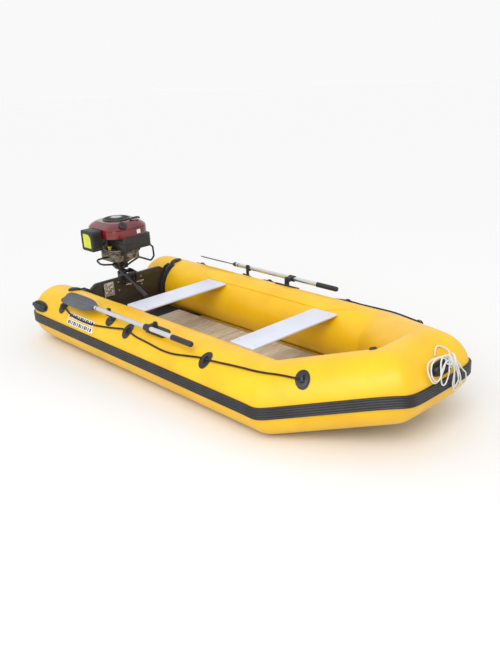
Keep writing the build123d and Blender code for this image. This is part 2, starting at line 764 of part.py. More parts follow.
PAD_FACE = TRANSOM_AFT + TRANSOM_T + CLEAR
SCREW_PAD_R = 16
SCREW_PAD_T = 4
SCREW_END = -1288
TOMMY_R = 5
TOMMY_HALF = 36
for side, sign in SIDES.items():
    with BuildPart() as clamp_screw:
        with BuildSketch(Plane.YZ.offset(PAD_FACE)):
            with Locations((sign * CHEEK_Y, SCREW_Z)):
                Circle(SCREW_PAD_R)
        extrude(amount=SCREW_PAD_T)
        with BuildSketch(Plane.YZ.offset(PAD_FACE)):
            with Locations((sign * CHEEK_Y, SCREW_Z)):
                Circle(SCREW_R)
        extrude(amount=SCREW_END - PAD_FACE)
        with BuildSketch(Plane.YZ.offset(SCREW_END - 3 * TOMMY_R)):
            with Locations((sign * CHEEK_Y, SCREW_Z)):
                Circle(1.6 * SCREW_R)
        extrude(amount=4 * TOMMY_R)
        with BuildSketch(Plane.XZ.offset(-sign * CHEEK_Y)):
            with Locations((SCREW_END - TOMMY_R, SCREW_Z)):
                Circle(TOMMY_R)
        extrude(amount=TOMMY_HALF, both=True)
    save(clamp_screw, f"clamp_screw_{side}")

PIN_HEAD_R = 12
PIN_HEAD_T = 6
INNER_Y = CHEEK_Y - CHEEK_T / 2 - 0.5
OUTER_Y = CHEEK_Y + CHEEK_T / 2 + 0.5
with BuildPart() as swivel_bracket:
    with BuildSketch(Plane.XZ):
        with Locations((TILT_X, TILT_Z)):
            Circle(TILT_EYE_R)
    extrude(amount=INNER_Y, both=True)
    with BuildSketch(Plane.XZ):
        with Locations((TILT_X, TILT_Z)):
            Circle(TILT_PIN_R)
    extrude(amount=OUTER_Y + PIN_HEAD_T / 2, both=True)
    for sign in SIDES.values():
        with BuildSketch(Plane.XZ.offset(-sign * (OUTER_Y + PIN_HEAD_T / 2))):
            with Locations((TILT_X, TILT_Z)):
                Circle(PIN_HEAD_R)
        extrude(amount=PIN_HEAD_T / 2, both=True)
    with BuildSketch(Plane.XY.offset(TILT_Z - 32)):
        with Locations(((MOTOR_X + TILT_X) / 2, 0)):
            Rectangle(TILT_X - MOTOR_X, 40)
    extrude(amount=48)
    with BuildSketch(Plane.XY.offset(BARREL_Z[0])):
        with Locations((MOTOR_X, 0)):
            Circle(BARREL_R)
    extrude(amount=BARREL_Z[1] - BARREL_Z[0])
    with BuildSketch(Plane.XY.offset(BARREL_Z[0])):
        with Locations((MOTOR_X, 0)):
            Circle(STEER_R + PIN_CLEAR)
    extrude(amount=BARREL_Z[1] - BARREL_Z[0], mode=Mode.SUBTRACT)
save(swivel_bracket, "swivel_bracket")

# --- Drive leg and propeller ------------------------------------------------------------------
NECK_TOP = 545
HEAD_T = 12
NECK_FRONT = -1430
GEARCASE_R = 30
GEARCASE_X = (-1540, -1446)
PROP_SHAFT_R = 8
PROP_X = (-1595, -1540.7)
PROP_R = 74
PLATE_Z = 172
SKEG_FOOT = 14
with BuildPart() as drive_leg:
    with BuildSketch(Plane.XY.offset(BARREL_Z[0] - 30)):
        with Locations((MOTOR_X, 0)):
            Circle(STEER_R)
    extrude(amount=BARREL_Z[1] + HEAD_T - BARREL_Z[0] + 30)
    with BuildSketch(Plane.XY.offset(BARREL_Z[1] + 0.5)):
        with Locations((MOTOR_X - 5, 0)):
            RectangleRounded(90, 90, 14)
    extrude(amount=HEAD_T)
    with BuildSketch(Plane.XY.offset(BARREL_Z[1] + HEAD_T)):
        with Locations((MOTOR_X, 0)):
            Rectangle(2 * (NECK_FRONT - MOTOR_X), 80)
    extrude(amount=NECK_TOP - BARREL_Z[1] - HEAD_T)
    with BuildSketch(Plane.XY.offset(PROP_Z)):
        with Locations((MOTOR_X - 8, 0)):
            Ellipse(42, 23)
    extrude(amount=BARREL_Z[0] - 0.5 - PROP_Z)
    with BuildSketch(Plane.XY.offset(PLATE_Z)):
        with Locations((MOTOR_X - 28, 0)):
            RectangleRounded(145, 124, 40)
    extrude(amount=6)
    with BuildSketch(Plane.YZ.offset(GEARCASE_X[0])):
        with Locations((0, PROP_Z)):
            Circle(GEARCASE_R)
    extrude(amount=GEARCASE_X[1] - GEARCASE_X[0])
    with Locations((GEARCASE_X[1], 0, PROP_Z)):
        Sphere(GEARCASE_R)
    with BuildSketch(Plane.YZ.offset(PROP_X[0] + 10)):
        with Locations((0, PROP_Z)):
            Circle(PROP_SHAFT_R)
    extrude(amount=GEARCASE_X[0] - PROP_X[0])
    with BuildSketch(Plane.XZ):
        with BuildLine():
            Polyline(
                (-1530, PROP_Z - 10),
                (-1525, SKEG_FOOT),
                (-1492, SKEG_FOOT),
                (-1450, PROP_Z - 10),
                close=True,
            )
        make_face()
    extrude(amount=4, both=True)
save(drive_leg, "drive_leg")

HUB_R = 23
BLADE_COUNT = 3
BLADE_CHORD = 44
BLADE_PITCH = 32
PROP_BLADE_T = 5
prop_middle = (PROP_X[0] + PROP_X[1]) / 2
with BuildPart() as propeller:
    with BuildSketch(Plane.YZ.offset(PROP_X[0])):
        with Locations((0, PROP_Z)):
            Circle(HUB_R)
    extrude(amount=PROP_X[1] - PROP_X[0])
    for index in range(BLADE_COUNT):
        turn = radians(90 + index * 360 / BLADE_COUNT)
        blade_out = Vector(0, cos(turn), sin(turn))
        chord = (
            FORWARD * cos(radians(90 - BLADE_PITCH))
            + blade_out.cross(FORWARD) * sin(radians(90 - BLADE_PITCH))
        )
        face = Plane(
            origin=(prop_middle, 0, PROP_Z), x_dir=blade_out, z_dir=blade_out.cross(chord)
        )
        with BuildSketch(face):
            with Locations(((HUB_R + PROP_R) / 2 - 4, 0)):
                Ellipse((PROP_R - HUB_R) / 2 + 4, BLADE_CHORD / 2)
        extrude(amount=PROP_BLADE_T / 2, both=True)
    with BuildSketch(Plane.YZ.offset(PROP_X[0] + 9)):
        with Locations((0, PROP_Z)):
            Circle(PROP_SHAFT_R + PIN_CLEAR)
    extrude(amount=PROP_X[1] - PROP_X[0], mode=Mode.SUBTRACT)
save(propeller, "propeller")

# --- Engine ---------------------------------------------------------------------------------------
BODY_Z = (590, 690)
BODY_SIZE = (250, 280)
FIN_ZS = [644, 658, 672]
FIN_GAP = 7
FIN_DEPTH = 11
HEAD_BOX = (-1535, -115, 70, 58)
HEAD_TOP = 807
TANK_TOP = 808
with BuildPart() as crankcase:
    with BuildSketch(Plane.XY.offset(NECK_TOP)):
        with Locations((MOTOR_X, 0)):
            Circle(58)
    with BuildSketch(Plane.XY.offset(BODY_Z[0])):
        with Locations((MOTOR_X, 0)):
            Circle(122)
    loft()
    with BuildSketch(Plane.XY.offset(BODY_Z[0])):
        with Locations((MOTOR_X, 0)):
            RectangleRounded(*BODY_SIZE, 60)
    extrude(amount=BODY_Z[1] - BODY_Z[0])
    for z in FIN_ZS:
        with BuildSketch(Plane.XY.offset(z)):
            with Locations((MOTOR_X, 0)):
                RectangleRounded(*BODY_SIZE, 60)
                RectangleRounded(
                    BODY_SIZE[0] - 2 * FIN_DEPTH,
                    BODY_SIZE[1] - 2 * FIN_DEPTH,
                    60 - FIN_DEPTH,
                    mode=Mode.SUBTRACT,
                )
        extrude(amount=FIN_GAP, mode=Mode.SUBTRACT)
    with BuildSketch(Plane.XY.offset(BODY_Z[1])):
        with Locations(HEAD_BOX[:2]):
            Rectangle(*HEAD_BOX[2:])
    extrude(amount=HEAD_TOP - BODY_Z[1])
save(crankcase, "crankcase")

with BuildPart() as fuel_tank:
    with BuildSketch(Plane.XY.offset(BODY_Z[1])):
        with Locations((-1408, 60)):
            RectangleRounded(292, 288, 36)
    extrude(amount=TANK_TOP - BODY_Z[1])
save(fuel_tank, "fuel_tank")

COWL_SIZE = (430, 410)
COWL_CORNER = 115
COWL_EDGE = 885
COWL_TOP = 930
COWL_SHRINK = 45
with BuildPart() as cowl:
    with BuildSketch(Plane.XY.offset(TANK_TOP)):
        with Locations((MOTOR_X, 0)):
            RectangleRounded(*COWL_SIZE, COWL_CORNER)
    extrude(amount=COWL_EDGE - TANK_TOP)
    with BuildSketch(Plane.XY.offset(COWL_EDGE)):
        with Locations((MOTOR_X, 0)):
            RectangleRounded(*COWL_SIZE, COWL_CORNER)
    with BuildSketch(Plane.XY.offset(COWL_TOP)):
        with Locations((MOTOR_X, 0)):
            RectangleRounded(
                COWL_SIZE[0] - 2 * COWL_SHRINK,
                COWL_SIZE[1] - 2 * COWL_SHRINK,
                COWL_CORNER - COWL_SHRINK,
            )
    loft()
save(cowl, "cowl")

RECOIL_R = 118
RECOIL_RIM = 941
RECOIL_TOP = 952
with BuildPart() as recoil_cover:
    with BuildSketch(Plane.XY.offset(COWL_TOP)):
        with Locations((MOTOR_X, 0)):
            Circle(RECOIL_R)
    extrude(amount=RECOIL_TOP - COWL_TOP)
    chamfer(recoil_cover.faces().sort_by(Axis.Z)[-1].edges(), length=RECOIL_TOP - RECOIL_RIM)
save(recoil_cover, "recoil_cover")

RECOIL_BAR = (34, 104, 25)
with BuildPart() as recoil_handle:
    with BuildSketch(Plane.XY.offset(COWL_TOP + CLEAR)):
        with Locations((-1327, 92)):
            RectangleRounded(RECOIL_BAR[0], RECOIL_BAR[1], 12)
    extrude(amount=RECOIL_BAR[2])
    fillet(recoil_handle.faces().sort_by(Axis.Z)[-1].edges(), radius=8)
save(recoil_handle, "recoil_handle")

slope = Vector(COWL_TOP - COWL_EDGE, 0, COWL_SHRINK).normalized()
cap_foot = Vector(
    MOTOR_X + (COWL_SIZE[0] - COWL_SHRINK) / 2, -70, (COWL_EDGE + COWL_TOP) / 2
)
FUEL_CAP_R = 36
with BuildPart() as fuel_cap:
    with BuildSketch(Plane(origin=cap_foot + slope * CLEAR, z_dir=slope)):
        Circle(FUEL_CAP_R)
    extrude(amount=17)
    chamfer(fuel_cap.edges().filter_by(GeomType.CIRCLE).sort_by(Axis.Z)[-1], length=4)
save(fuel_cap, "fuel_cap")

MUFFLER_X = (-1570, -1390)
MUFFLER_Y = (-305, -212)
MUFFLER_Z = (712, 885)
PIPE_R = 15
with BuildPart() as muffler:
    with BuildSketch(Plane.XY.offset(MUFFLER_Z[0])):
        with Locations((sum(MUFFLER_X) / 2, sum(MUFFLER_Y) / 2)):
            Rectangle(MUFFLER_X[1] - MUFFLER_X[0], MUFFLER_Y[1] - MUFFLER_Y[0])
    extrude(amount=MUFFLER_Z[1] - MUFFLER_Z[0])
    fillet(muffler.edges().filter_by(Axis.Y), radius=18)
    with BuildSketch(Plane.XZ.offset(-MUFFLER_Y[1])):
        with Locations((HEAD_BOX[0], 738)):
            Circle(PIPE_R)
    extrude(amount=-(HEAD_BOX[1] - HEAD_BOX[3] / 2 - MUFFLER_Y[1]))
save(muffler, "muffler")

OIL_CAP_AT = (-1440, -118)
with BuildPart() as oil_cap:
    with BuildSketch(Plane.XY.offset(BODY_Z[1] + CLEAR)):
        with Locations(OIL_CAP_AT):
            Circle(12)
    extrude(amount=18)
    with BuildSketch(Plane.XY.offset(BODY_Z[1] + 18)):
        with Locations(OIL_CAP_AT):
            Circle(17)
            with PolarLocations(17, 8):
                Circle(3, mode=Mode.SUBTRACT)
    extrude(amount=12)
save(oil_cap, "oil_cap")

# --- Guard frame, tiller and stop button ----------------------------------------------------------
arm_run = (TILLER_TIP - TILLER_ROOT).normalized()
hinge_axis = Vector(arm_run.Y, -arm_run.X, 0).normalized()
tiller_plane = Plane(origin=TILLER_ROOT, x_dir=arm_run, z_dir=hinge_axis)
EYE_R = 14
EYE_HALF = 10.5
FORK_PIN_R = 5
FORK_GAP = 0.5
FORK_T = 6
ARM_R = 10
TWIST_R = 17
TWIST_LENGTH = 150
FRAME_BEND = 20
SWITCH_BOX = (24, 26, 24)
SWITCH_AT = (-1395, -92, 533)
FRAME_X = -1410
fork_back = TILLER_ROOT - arm_run * 30
frame_routes = [
    [
        Vector(FRAME_X, BODY_SIZE[1] / 2, 636),
        Vector(FRAME_X, 160, 636),
        Vector(FRAME_X, 176, 672),
        Vector(FRAME_X, 268, 672),
        Vector(FRAME_X, 308, 630),
        Vector(FRAME_X, 312, 545),
        Vector(FRAME_X, 276, 512),
        Vector(FRAME_X, 150, 572),
        Vector(FRAME_X + 4, 60, 545),
        Vector(FRAME_X, 28, 530),
        Vector(NECK_FRONT, 20, 528),
    ],
    [
        Vector(-1450, -BODY_SIZE[1] / 2, 628),
        Vector(-1450, -240, 628),
        Vector(-1430, -262, 622),
        Vector(-1385, -262, 604),
        Vector(-1366, -240, 596),
        fork_back,
    ],
    [fork_back, Vector(-1400, -80, 548), Vector(-1406, -34, 532), Vector(NECK_FRONT, -24, 528)],
    [
        Vector(-1330, -45, BODY_Z[1]),
        Vector(-1330, -45, 566),
        Vector(-1352, -40, 536),
        Vector(NECK_FRONT, -30, 530),
    ],
]
with BuildPart() as guard_frame:
    for route in frame_routes:
        with BuildLine() as path:
            FilletPolyline(*route, radius=bend_radii(route, FRAME_BEND))
        with BuildSketch(Plane(origin=route[0], z_dir=route[1] - route[0])):
            Circle(FRAME_R)
        sweep(path=path.wires()[0])
    with Locations(SWITCH_AT):
        Box(*SWITCH_BOX)
    with BuildSketch(Plane.YZ.offset(NECK_FRONT)):
        with Locations((0, 529)):
            Rectangle(76, 26)
    extrude(amount=5)
    for start in (EYE_HALF + FORK_GAP, -EYE_HALF - FORK_GAP - FORK_T):
        with BuildSketch(tiller_plane.offset(start)):
            Circle(EYE_R)
            with Locations((-20, 0)):
                Rectangle(40, 2 * EYE_R)
        extrude(amount=FORK_T)
    fork_half = EYE_HALF + FORK_GAP + FORK_T
    with BuildSketch(tiller_plane.offset(-fork_half)):
        with Locations((-30, 0)):
            Rectangle(20, 2 * EYE_R)
    extrude(amount=2 * fork_half)
    with BuildSketch(tiller_plane.offset(-fork_half)):
        Circle(FORK_PIN_R)
    extrude(amount=2 * fork_half)
    for engine_piece in (drive_leg, crankcase, fuel_tank):
        add(engine_piece.part, mode=Mode.SUBTRACT)
save(guard_frame, "guard_frame")

arm_length = (TILLER_TIP - TILLER_ROOT).length
with BuildPart() as tiller_arm:
    with BuildSketch(Plane(origin=TILLER_ROOT, z_dir=arm_run)):
        Circle(ARM_R)
    extrude(amount=arm_length - 10)
    with BuildSketch(tiller_plane):
        Circle(EYE_R)
    extrude(amount=EYE_HALF, both=True)
    with BuildSketch(tiller_plane):
        Circle(FORK_PIN_R + PIN_CLEAR)
    extrude(amount=2 * ARM_R, both=True, mode=Mode.SUBTRACT)
save(tiller_arm, "tiller_arm")

with BuildPart() as tiller_grip:
    with BuildSketch(Plane(origin=TILLER_TIP - arm_run * TWIST_LENGTH, z_dir=arm_run)):
        Circle(TWIST_R)
    extrude(amount=TWIST_LENGTH)
    with BuildSketch(Plane(origin=TILLER_TIP - arm_run * TWIST_LENGTH, z_dir=arm_run)):
        Circle(ARM_R + PIN_CLEAR)
    extrude(amount=TWIST_LENGTH - 9, mode=Mode.SUBTRACT)
save(tiller_grip, "tiller_grip")

BUTTON_R = 11
BUTTON_TRAVEL = 3
button_x = SWITCH_AT[0] + SWITCH_BOX[0] / 2 + BUTTON_TRAVEL + 0.5
with BuildPart() as stop_button:
    with BuildSketch(Plane.YZ.offset(button_x)):
        with Locations(SWITCH_AT[1:]):
            Circle(BUTTON_R)
    extrude(amount=16)
    fillet(stop_button.faces().sort_by(Axis.X)[-1].edges(), radius=4)
save(stop_button, "stop_button")

# --- Clear pouch of small parts, on the transom's face ----------------------------------------------
POUCH_SIZE = (19, 104, 126)
POUCH_AT = (TRANSOM_AFT + TRANSOM_T + 10.5, -220, 373)
with BuildPart() as parts_pouch:
    with Locations(POUCH_AT):
        Box(*POUCH_SIZE)
    fillet(parts_pouch.edges(), radius=7)
save(parts_pouch, "parts_pouch")
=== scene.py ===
"""The look of an inflatable dinghy with bench seats, oars and a small tiller outboard.

Metres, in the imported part's frame: +X to the bow, +Y to port, +Z up.  The sections
follow the boat as it is put together, from its lines and chambers to the motor.
"""

from math import cos, pi, radians, sin

import bmesh
import bpy
from mathutils import Matrix, Vector, noise


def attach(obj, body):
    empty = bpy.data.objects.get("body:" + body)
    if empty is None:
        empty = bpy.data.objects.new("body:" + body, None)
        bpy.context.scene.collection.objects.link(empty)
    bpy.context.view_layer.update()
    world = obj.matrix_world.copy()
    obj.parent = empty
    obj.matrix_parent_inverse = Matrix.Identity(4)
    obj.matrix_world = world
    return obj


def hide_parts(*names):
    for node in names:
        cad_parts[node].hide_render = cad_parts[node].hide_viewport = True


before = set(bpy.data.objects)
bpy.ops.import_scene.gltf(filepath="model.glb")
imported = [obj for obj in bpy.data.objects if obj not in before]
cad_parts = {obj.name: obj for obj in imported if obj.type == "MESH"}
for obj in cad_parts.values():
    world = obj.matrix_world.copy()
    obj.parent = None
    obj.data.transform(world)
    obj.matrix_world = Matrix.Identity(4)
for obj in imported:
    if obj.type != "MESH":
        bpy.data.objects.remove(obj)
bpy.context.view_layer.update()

# --- Camera ---------------------------------------------------------------------------
# It looks down over the starboard bow, towards the motor, with a slight roll.
CAMERA_AT = Vector((3.8925, -3.4097, 2.2455))
CAMERA_TURN = radians(47.56)
CAMERA_DROP = radians(20.61)
CAMERA_ROLL = radians(-3.06)
level = Vector((cos(CAMERA_TURN), sin(CAMERA_TURN), 0))
sight = Vector((-sin(CAMERA_TURN), cos(CAMERA_TURN), 0)) * cos(CAMERA_DROP)
sight.z = -sin(CAMERA_DROP)
upright = level.cross(sight)
to_right = level * cos(CAMERA_ROLL) + upright * sin(CAMERA_ROLL)
to_top = upright * cos(CAMERA_ROLL) - level * sin(CAMERA_ROLL)
camera = bpy.data.objects.new("camera", bpy.data.cameras.new("camera"))
camera.data.lens = 40.6
camera.matrix_world = Matrix((to_right, to_top, -sight)).transposed().to_4x4()
camera.location = CAMERA_AT
bpy.context.scene.collection.objects.link(camera)
bpy.context.scene.camera = camera

# --- Painter --------------------------------------------------------------------------
# A white braided rope, made up into a loose hank that hangs over the bow handle.
# Two turns round the bundle hold it, and its free end lies on the chamber above.
CHAMBER_R = 0.225
BOW_X = 1.568
BOW_Z = 0.359
PAINTER_D = 0.009
BRAID_WHITE = (0.80, 0.80, 0.78, 1)
# BRAID_SHADE is painted shade, laid in the grooves of the plait.
BRAID_SHADE = (0.45, 0.45, 0.46, 1)
# Across the boat and off the skin in millimetres, and degrees above the front.
# 33 of these points weren't chosen by hand: a separate relaxation moved them until no bend
# was tighter than two rope diameters.
PAINTER_ROUTE = [
    (34, 23, 54), (30, 30, 58), (12, 36, 58), (-20, 40, 56), (-55, 42, 46), (-90, 42, 36),
    (-122, 39, 30), (-140, 32, 26), (-140, 23, 24), (-126, 15, 22), (-100, 12, 22), (-74, 14, 28),
    (-56, 20, 42), (-38, 26, 56), (-14, 31, 62), (14, 33, 64), (42, 31, 64), (68, 25, 60),
    (92, 16, 46), (114, 6, 32), (134.2, -2.6, 26.3), (153.8, -8.4, 24.2), (128, -17, 22.9),
    (95.9, -14.7, 23), (88, -6, 25), (80, 3, 29), (70, 12, 40), (60, 21, 54), (48, 29, 64),
    (28, 36, 66), (-2, 40, 62), (-36, 41, 54), (-70, 40, 42), (-100, 36, 34), (-120, 29, 30),
    (-123.9, 21.3, 27.4), (-99.7, 13.6, 28.4), (-71.1, 15.7, 38.7), (-56, 25, 54), (-30, 30, 62),
    (0, 33, 68), (32, 33, 68), (62, 29, 66), (90, 22, 57), (116, 12, 44), (140, 3, 34),
    (150.8, -4, 28.2), (182.6, -13.4, 27.8), (218.8, -9.5, 27.8), (201.8, 5.3, 31.5),
    (177.8, 8.9, 36.1), (154, 13, 42), (124, 20, 52), (94, 27, 62), (64, 33, 70), (34, 38, 70),
    (2, 40, 66), (-30, 37, 62), (-54, 31, 58), (-64, 22, 48), (-60, 13, 34), (-43.4, 4.8, 27.9),
    (-14.3, 4.2, 28.1), (6.4, 11.2, 34.2), (8, 20, 52), (16, 28, 64), (34.6, 34.2, 72.2),
    (61.9, 33.8, 71.8), (85.4, 26.8, 65.9), (100, 18, 52), (112, 8, 38), (123.4, -0.6, 30.2),
    (93.7, -8.3, 27.2), (61.6, -4.4, 28.9), (58, 7, 37), (62, 18, 52), (60, 27, 64),
    (68.4, 33.6, 72), (50.8, 38.7, 88.7), (26.3, 35.3, 118.8), (23.5, 26.3, 103.1),
    (29, 25.1, 70.4), (28.2, 30.3, 53), (24.9, 33.7, 51.5), (22, 37.5, 57), (19, 39, 74),
    (16, 37.5, 91), (13.2, 33.7, 98.7), (10.2, 29.6, 93.8), (7.6, 27.8, 74.7), (8.3, 29.7, 54.6),
    (16.5, 34.4, 50.8), (38, 37, 53), (62, 37, 54), (88, 40, 50), (108, 44, 32), (116, 50, 14),
    (104, 55, 7), (78, 57, 7), (50, 54, 7), (28, 50, 7), (8, 46, 7),
]


def off_bow(across, angle, lift):
    """A point off the bow chamber's skin."""
    reach = CHAMBER_R + lift / 1000
    turn = radians(angle)
    return Vector((BOW_X + reach * cos(turn), across / 1000, BOW_Z + reach * sin(turn)))


def smooth_line(name, points, radius=0.0):
    """A round cord along one smooth line that the points pull on."""
    curve = bpy.data.curves.new(name, "CURVE")
    curve.dimensions = "3D"
    spline = curve.splines.new("NURBS")
    spline.points.add(len(points) - 1)
    for control, point in zip(spline.points, points):
        control.co = (*point, 1)
    spline.order_u = 3
    spline.use_endpoint_u = True
    spline.resolution_u = 6
    curve.bevel_depth = radius
    curve.bevel_resolution = 3
    curve.use_fill_caps = True
    piece = bpy.data.objects.new(name, curve)
    bpy.context.scene.collection.objects.link(piece)
    return piece


def put(material, kind, settings=None, **inputs):
    """Adds a shader node; an input is a value, or the output of another node."""
    node = material.node_tree.nodes.new("ShaderNode" + kind)
    for key, value in (settings or {}).items():
        setattr(node, key, value)
    for key, value in inputs.items():
        socket = node.inputs[int(key[1:])] if key[1:].isdigit() else node.inputs[key.replace("_", " ")]
        if isinstance(value, bpy.types.NodeSocket):
            material.node_tree.links.new(value, socket)
        else:
            socket.default_value = value
    return node


def new_finish(name):
    """An empty material, ready for its nodes, and its surface shader."""
    finish = bpy.data.materials.new(name)
    finish.use_nodes = True
    return finish, finish.node_tree.nodes["Principled BSDF"]


def braided_rope():
    """Crossing plaits, which wind both ways round the rope, with painted shade in their grooves."""
    finish, shader = new_finish("white_braid")
    place = put(finish, "TexCoord")
    parts = put(finish, "SeparateXYZ", Vector=place.outputs["UV"])
    along = put(finish, "Math", {"operation": "MULTIPLY"}, _0=parts.outputs["X"], _1=1600.0)
    round_it = put(finish, "Math", {"operation": "MULTIPLY"}, _0=parts.outputs["Y"], _1=4 * 2 * pi)
    lead = put(finish, "Math", {"operation": "ADD"}, _0=along.outputs[0], _1=round_it.outputs[0])
    trail = put(finish, "Math", {"operation": "SUBTRACT"}, _0=along.outputs[0], _1=round_it.outputs[0])
    one = put(finish, "Math", {"operation": "SINE"}, _0=lead.outputs[0])
    two = put(finish, "Math", {"operation": "SINE"}, _0=trail.outputs[0])
    plait = put(finish, "Math", {"operation": "MULTIPLY"}, _0=one.outputs[0], _1=two.outputs[0])
    # Where the plait sinks in its bump, the colour turns grey: painted shade in the grooves.
    shade = put(finish, "MapRange", _0=plait.outputs[0], _1=-0.9, _2=0.1)
    mixed = put(
        finish, "Mix", {"data_type": "RGBA"}, _0=shade.outputs[0], _6=BRAID_SHADE, _7=BRAID_WHITE
    )
    finish.node_tree.links.new(mixed.outputs[2], shader.inputs["Base Color"])
    bump = put(finish, "Bump", Strength=0.6, Distance=0.001, Height=plait.outputs[0])
    finish.node_tree.links.new(bump.outputs[0], shader.inputs["Normal"])
    shader.inputs["Roughness"].default_value = 0.75
    shader.inputs["Sheen Weight"].default_value = 0.3
    return finish


painter = smooth_line("painter", [off_bow(*p) for p in PAINTER_ROUTE], PAINTER_D / 2)
painter.data.materials.append(braided_rope())
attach(painter, "hull")
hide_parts("painter_hank")

# --- Grab lines -----------------------------------------------------------------------
# Black three-strand rope, one length along each side.  It is threaded through the
# moulded holders and lies on the chamber between them; each end stops just past its last holder.
SIDE_Y = 0.567
CORNER_X = 0.960
BOW_HALF = 0.197
HOLDERS = [(-1.244, 45), (-0.355, 47), (0.502, 50)]
QUARTER_HOLDER = (0.257, 47)
LINE_LIFT = 0.016
LINE_REST = 0.0085
LINE_STUB = 0.028
LINE_SAG = [
    [(-1.110, 34), (-0.940, 31), (-0.765, 32), (-0.540, 40)],
    [(-0.250, 42), (-0.075, 40), (0.080, 37), (0.200, 38), (0.350, 45)],
    [(0.640, 54), (0.800, 59), (0.966, 63)],
]
LINE_BOW = (0.1285, 57)
STRAND_R = 0.0036
STRAND_OFF = 0.0036
STRAND_LAY = 0.052
QUARTER_RUN = Vector((BOW_X - CORNER_X, SIDE_Y - BOW_HALF, BOW_Z - CHAMBER_R))


def quarter_frame(side):
    """The direction of a bow quarter, and the two directions square to it."""
    run = Vector((QUARTER_RUN.x, -side * QUARTER_RUN.y, QUARTER_RUN.z)).normalized()
    out = Vector((-side * run.y, side * run.x, 0)).normalized()
    return run, out, (Vector((0, 0, 1)) - run * run.z).normalized()


def off_side(side, x, angle, lift):
    """A point off a side chamber's skin, degrees above its outer side."""
    reach = CHAMBER_R + lift
    turn = radians(angle)
    return Vector((x, side * (SIDE_Y + reach * cos(turn)), CHAMBER_R + reach * sin(turn)))


def off_quarter(side, along, angle, lift):
    """A point off a bow quarter's skin, some way along it from its aft end."""
    run, out, up = quarter_frame(side)
    turn = radians(angle)
    skin = (out * cos(turn) + up * sin(turn)) * (CHAMBER_R + lift)
    return Vector((CORNER_X, side * SIDE_Y, CHAMBER_R)) + run * along + skin


def grab_line_route(side):
    """One side's line, from its stern end to its bow end."""
    points = [off_side(side, HOLDERS[0][0] - LINE_STUB, HOLDERS[0][1], LINE_LIFT)]
    for index, (x, angle) in enumerate(HOLDERS):
        if index:
            points.append(off_side(side, x - LINE_STUB, angle, LINE_LIFT))
        points.append(off_side(side, x + LINE_STUB, angle, LINE_LIFT))
        points += [off_side(side, at, rise, LINE_REST) for at, rise in LINE_SAG[index]]
    along, angle = QUARTER_HOLDER
    points.append(off_quarter(side, *LINE_BOW, LINE_REST))
    points.append(off_quarter(side, along - LINE_STUB, angle, LINE_LIFT))
    points.append(off_quarter(side, along + LINE_STUB, angle, LINE_LIFT))
    return points


def laid_rope(name, line, strands, lay, off, radius):
    """Strands that wind round a smooth line, in place of it."""
    mesh = bpy.data.meshes.new_from_object(line)
    points = [vertex.co.copy() for vertex in mesh.vertices]
    bpy.data.objects.remove(line)
    dense = []
    for before, after in zip(points, points[1:]):
        steps = max(1, round((after - before).length / (lay / 10)))
        dense += [before.lerp(after, step / steps) for step in range(steps)]
    rope = bpy.data.curves.new(name, "CURVE")
    rope.dimensions = "3D"
    rope.bevel_depth = radius
    rope.bevel_resolution = 1
    rope.use_fill_caps = True
    for strand in range(strands):
        spline = rope.splines.new("POLY")
        spline.points.add(len(dense) - 2)
        gone = 0.0
        for index, (at, ahead) in enumerate(zip(dense, dense[1:])):
            run = (ahead - at).normalized()
            across = run.cross(Vector((0, 0, 1))).normalized()
            turn = 2 * pi * (gone / lay + strand / strands)
            spoke = across * cos(turn) + across.cross(run) * sin(turn)
            spline.points[index].co = (*(at + spoke * off), 1)
            gone += (ahead - at).length
    piece = bpy.data.objects.new(name, rope)
    bpy.context.scene.collection.objects.link(piece)
    return piece


SCUFF_INPUTS = [
    ("Light", "NodeSocketColor", (0.5, 0.5, 0.5, 1)),
    ("Dark", "NodeSocketColor", (0.2, 0.2, 0.2, 1)),
    ("Patch Scale", "NodeSocketFloat", 6.0),
    ("Grain Scale", "NodeSocketFloat", 600.0),
    ("Grain Height", "NodeSocketFloat", 0.0002),
    ("Rough Low", "NodeSocketFloat", 0.3),
    ("Rough High", "NodeSocketFloat", 0.5),
]


def scuffed_surface():
    """A shader group: soft patches of two colours, uneven gloss and a fine moulded grain."""
    group = bpy.data.node_groups.new("scuffed_surface", "ShaderNodeTree")
    for name, kind, value in SCUFF_INPUTS:
        group.interface.new_socket(name, in_out="INPUT", socket_type=kind).default_value = value
    for name, kind in (("Color", "Color"), ("Roughness", "Float"), ("Normal", "Vector")):
        group.interface.new_socket(name, in_out="OUTPUT", socket_type="NodeSocket" + kind)
    given = group.nodes.new("NodeGroupInput").outputs
    result = group.nodes.new("NodeGroupOutput").inputs
    place = group.nodes.new("ShaderNodeTexCoord").outputs["Object"]
    link = group.links.new

    def cloud(scale, detail):
        texture = group.nodes.new("ShaderNodeTexNoise")
        texture.inputs["Detail"].default_value = detail
        link(place, texture.inputs["Vector"])
        link(scale, texture.inputs["Scale"])
        return texture.outputs[0]

    patches = cloud(given["Patch Scale"], 5.0)
    grain = cloud(given["Grain Scale"], 2.0)
    spread = group.nodes.new("ShaderNodeMapRange")
    spread.inputs["From Min"].default_value = 0.35
    spread.inputs["From Max"].default_value = 0.65
    link(patches, spread.inputs[0])
    mixed = group.nodes.new("ShaderNodeMix")
    mixed.data_type = "RGBA"
    link(spread.outputs[0], mixed.inputs[0])
    link(given["Light"], mixed.inputs[6])
    link(given["Dark"], mixed.inputs[7])
    link(mixed.outputs[2], result["Color"])
    gloss = group.nodes.new("ShaderNodeMapRange")
    link(patches, gloss.inputs[0])
    link(given["Rough Low"], gloss.inputs["To Min"])
    link(given["Rough High"], gloss.inputs["To Max"])
    link(gloss.outputs[0], result["Roughness"])
    bump = group.nodes.new("ShaderNodeBump")
    link(given["Grain Height"], bump.inputs["Distance"])
    link(grain, bump.inputs["Height"])
    link(bump.outputs[0], result["Normal"])
    return group


SCUFFED = scuffed_surface()


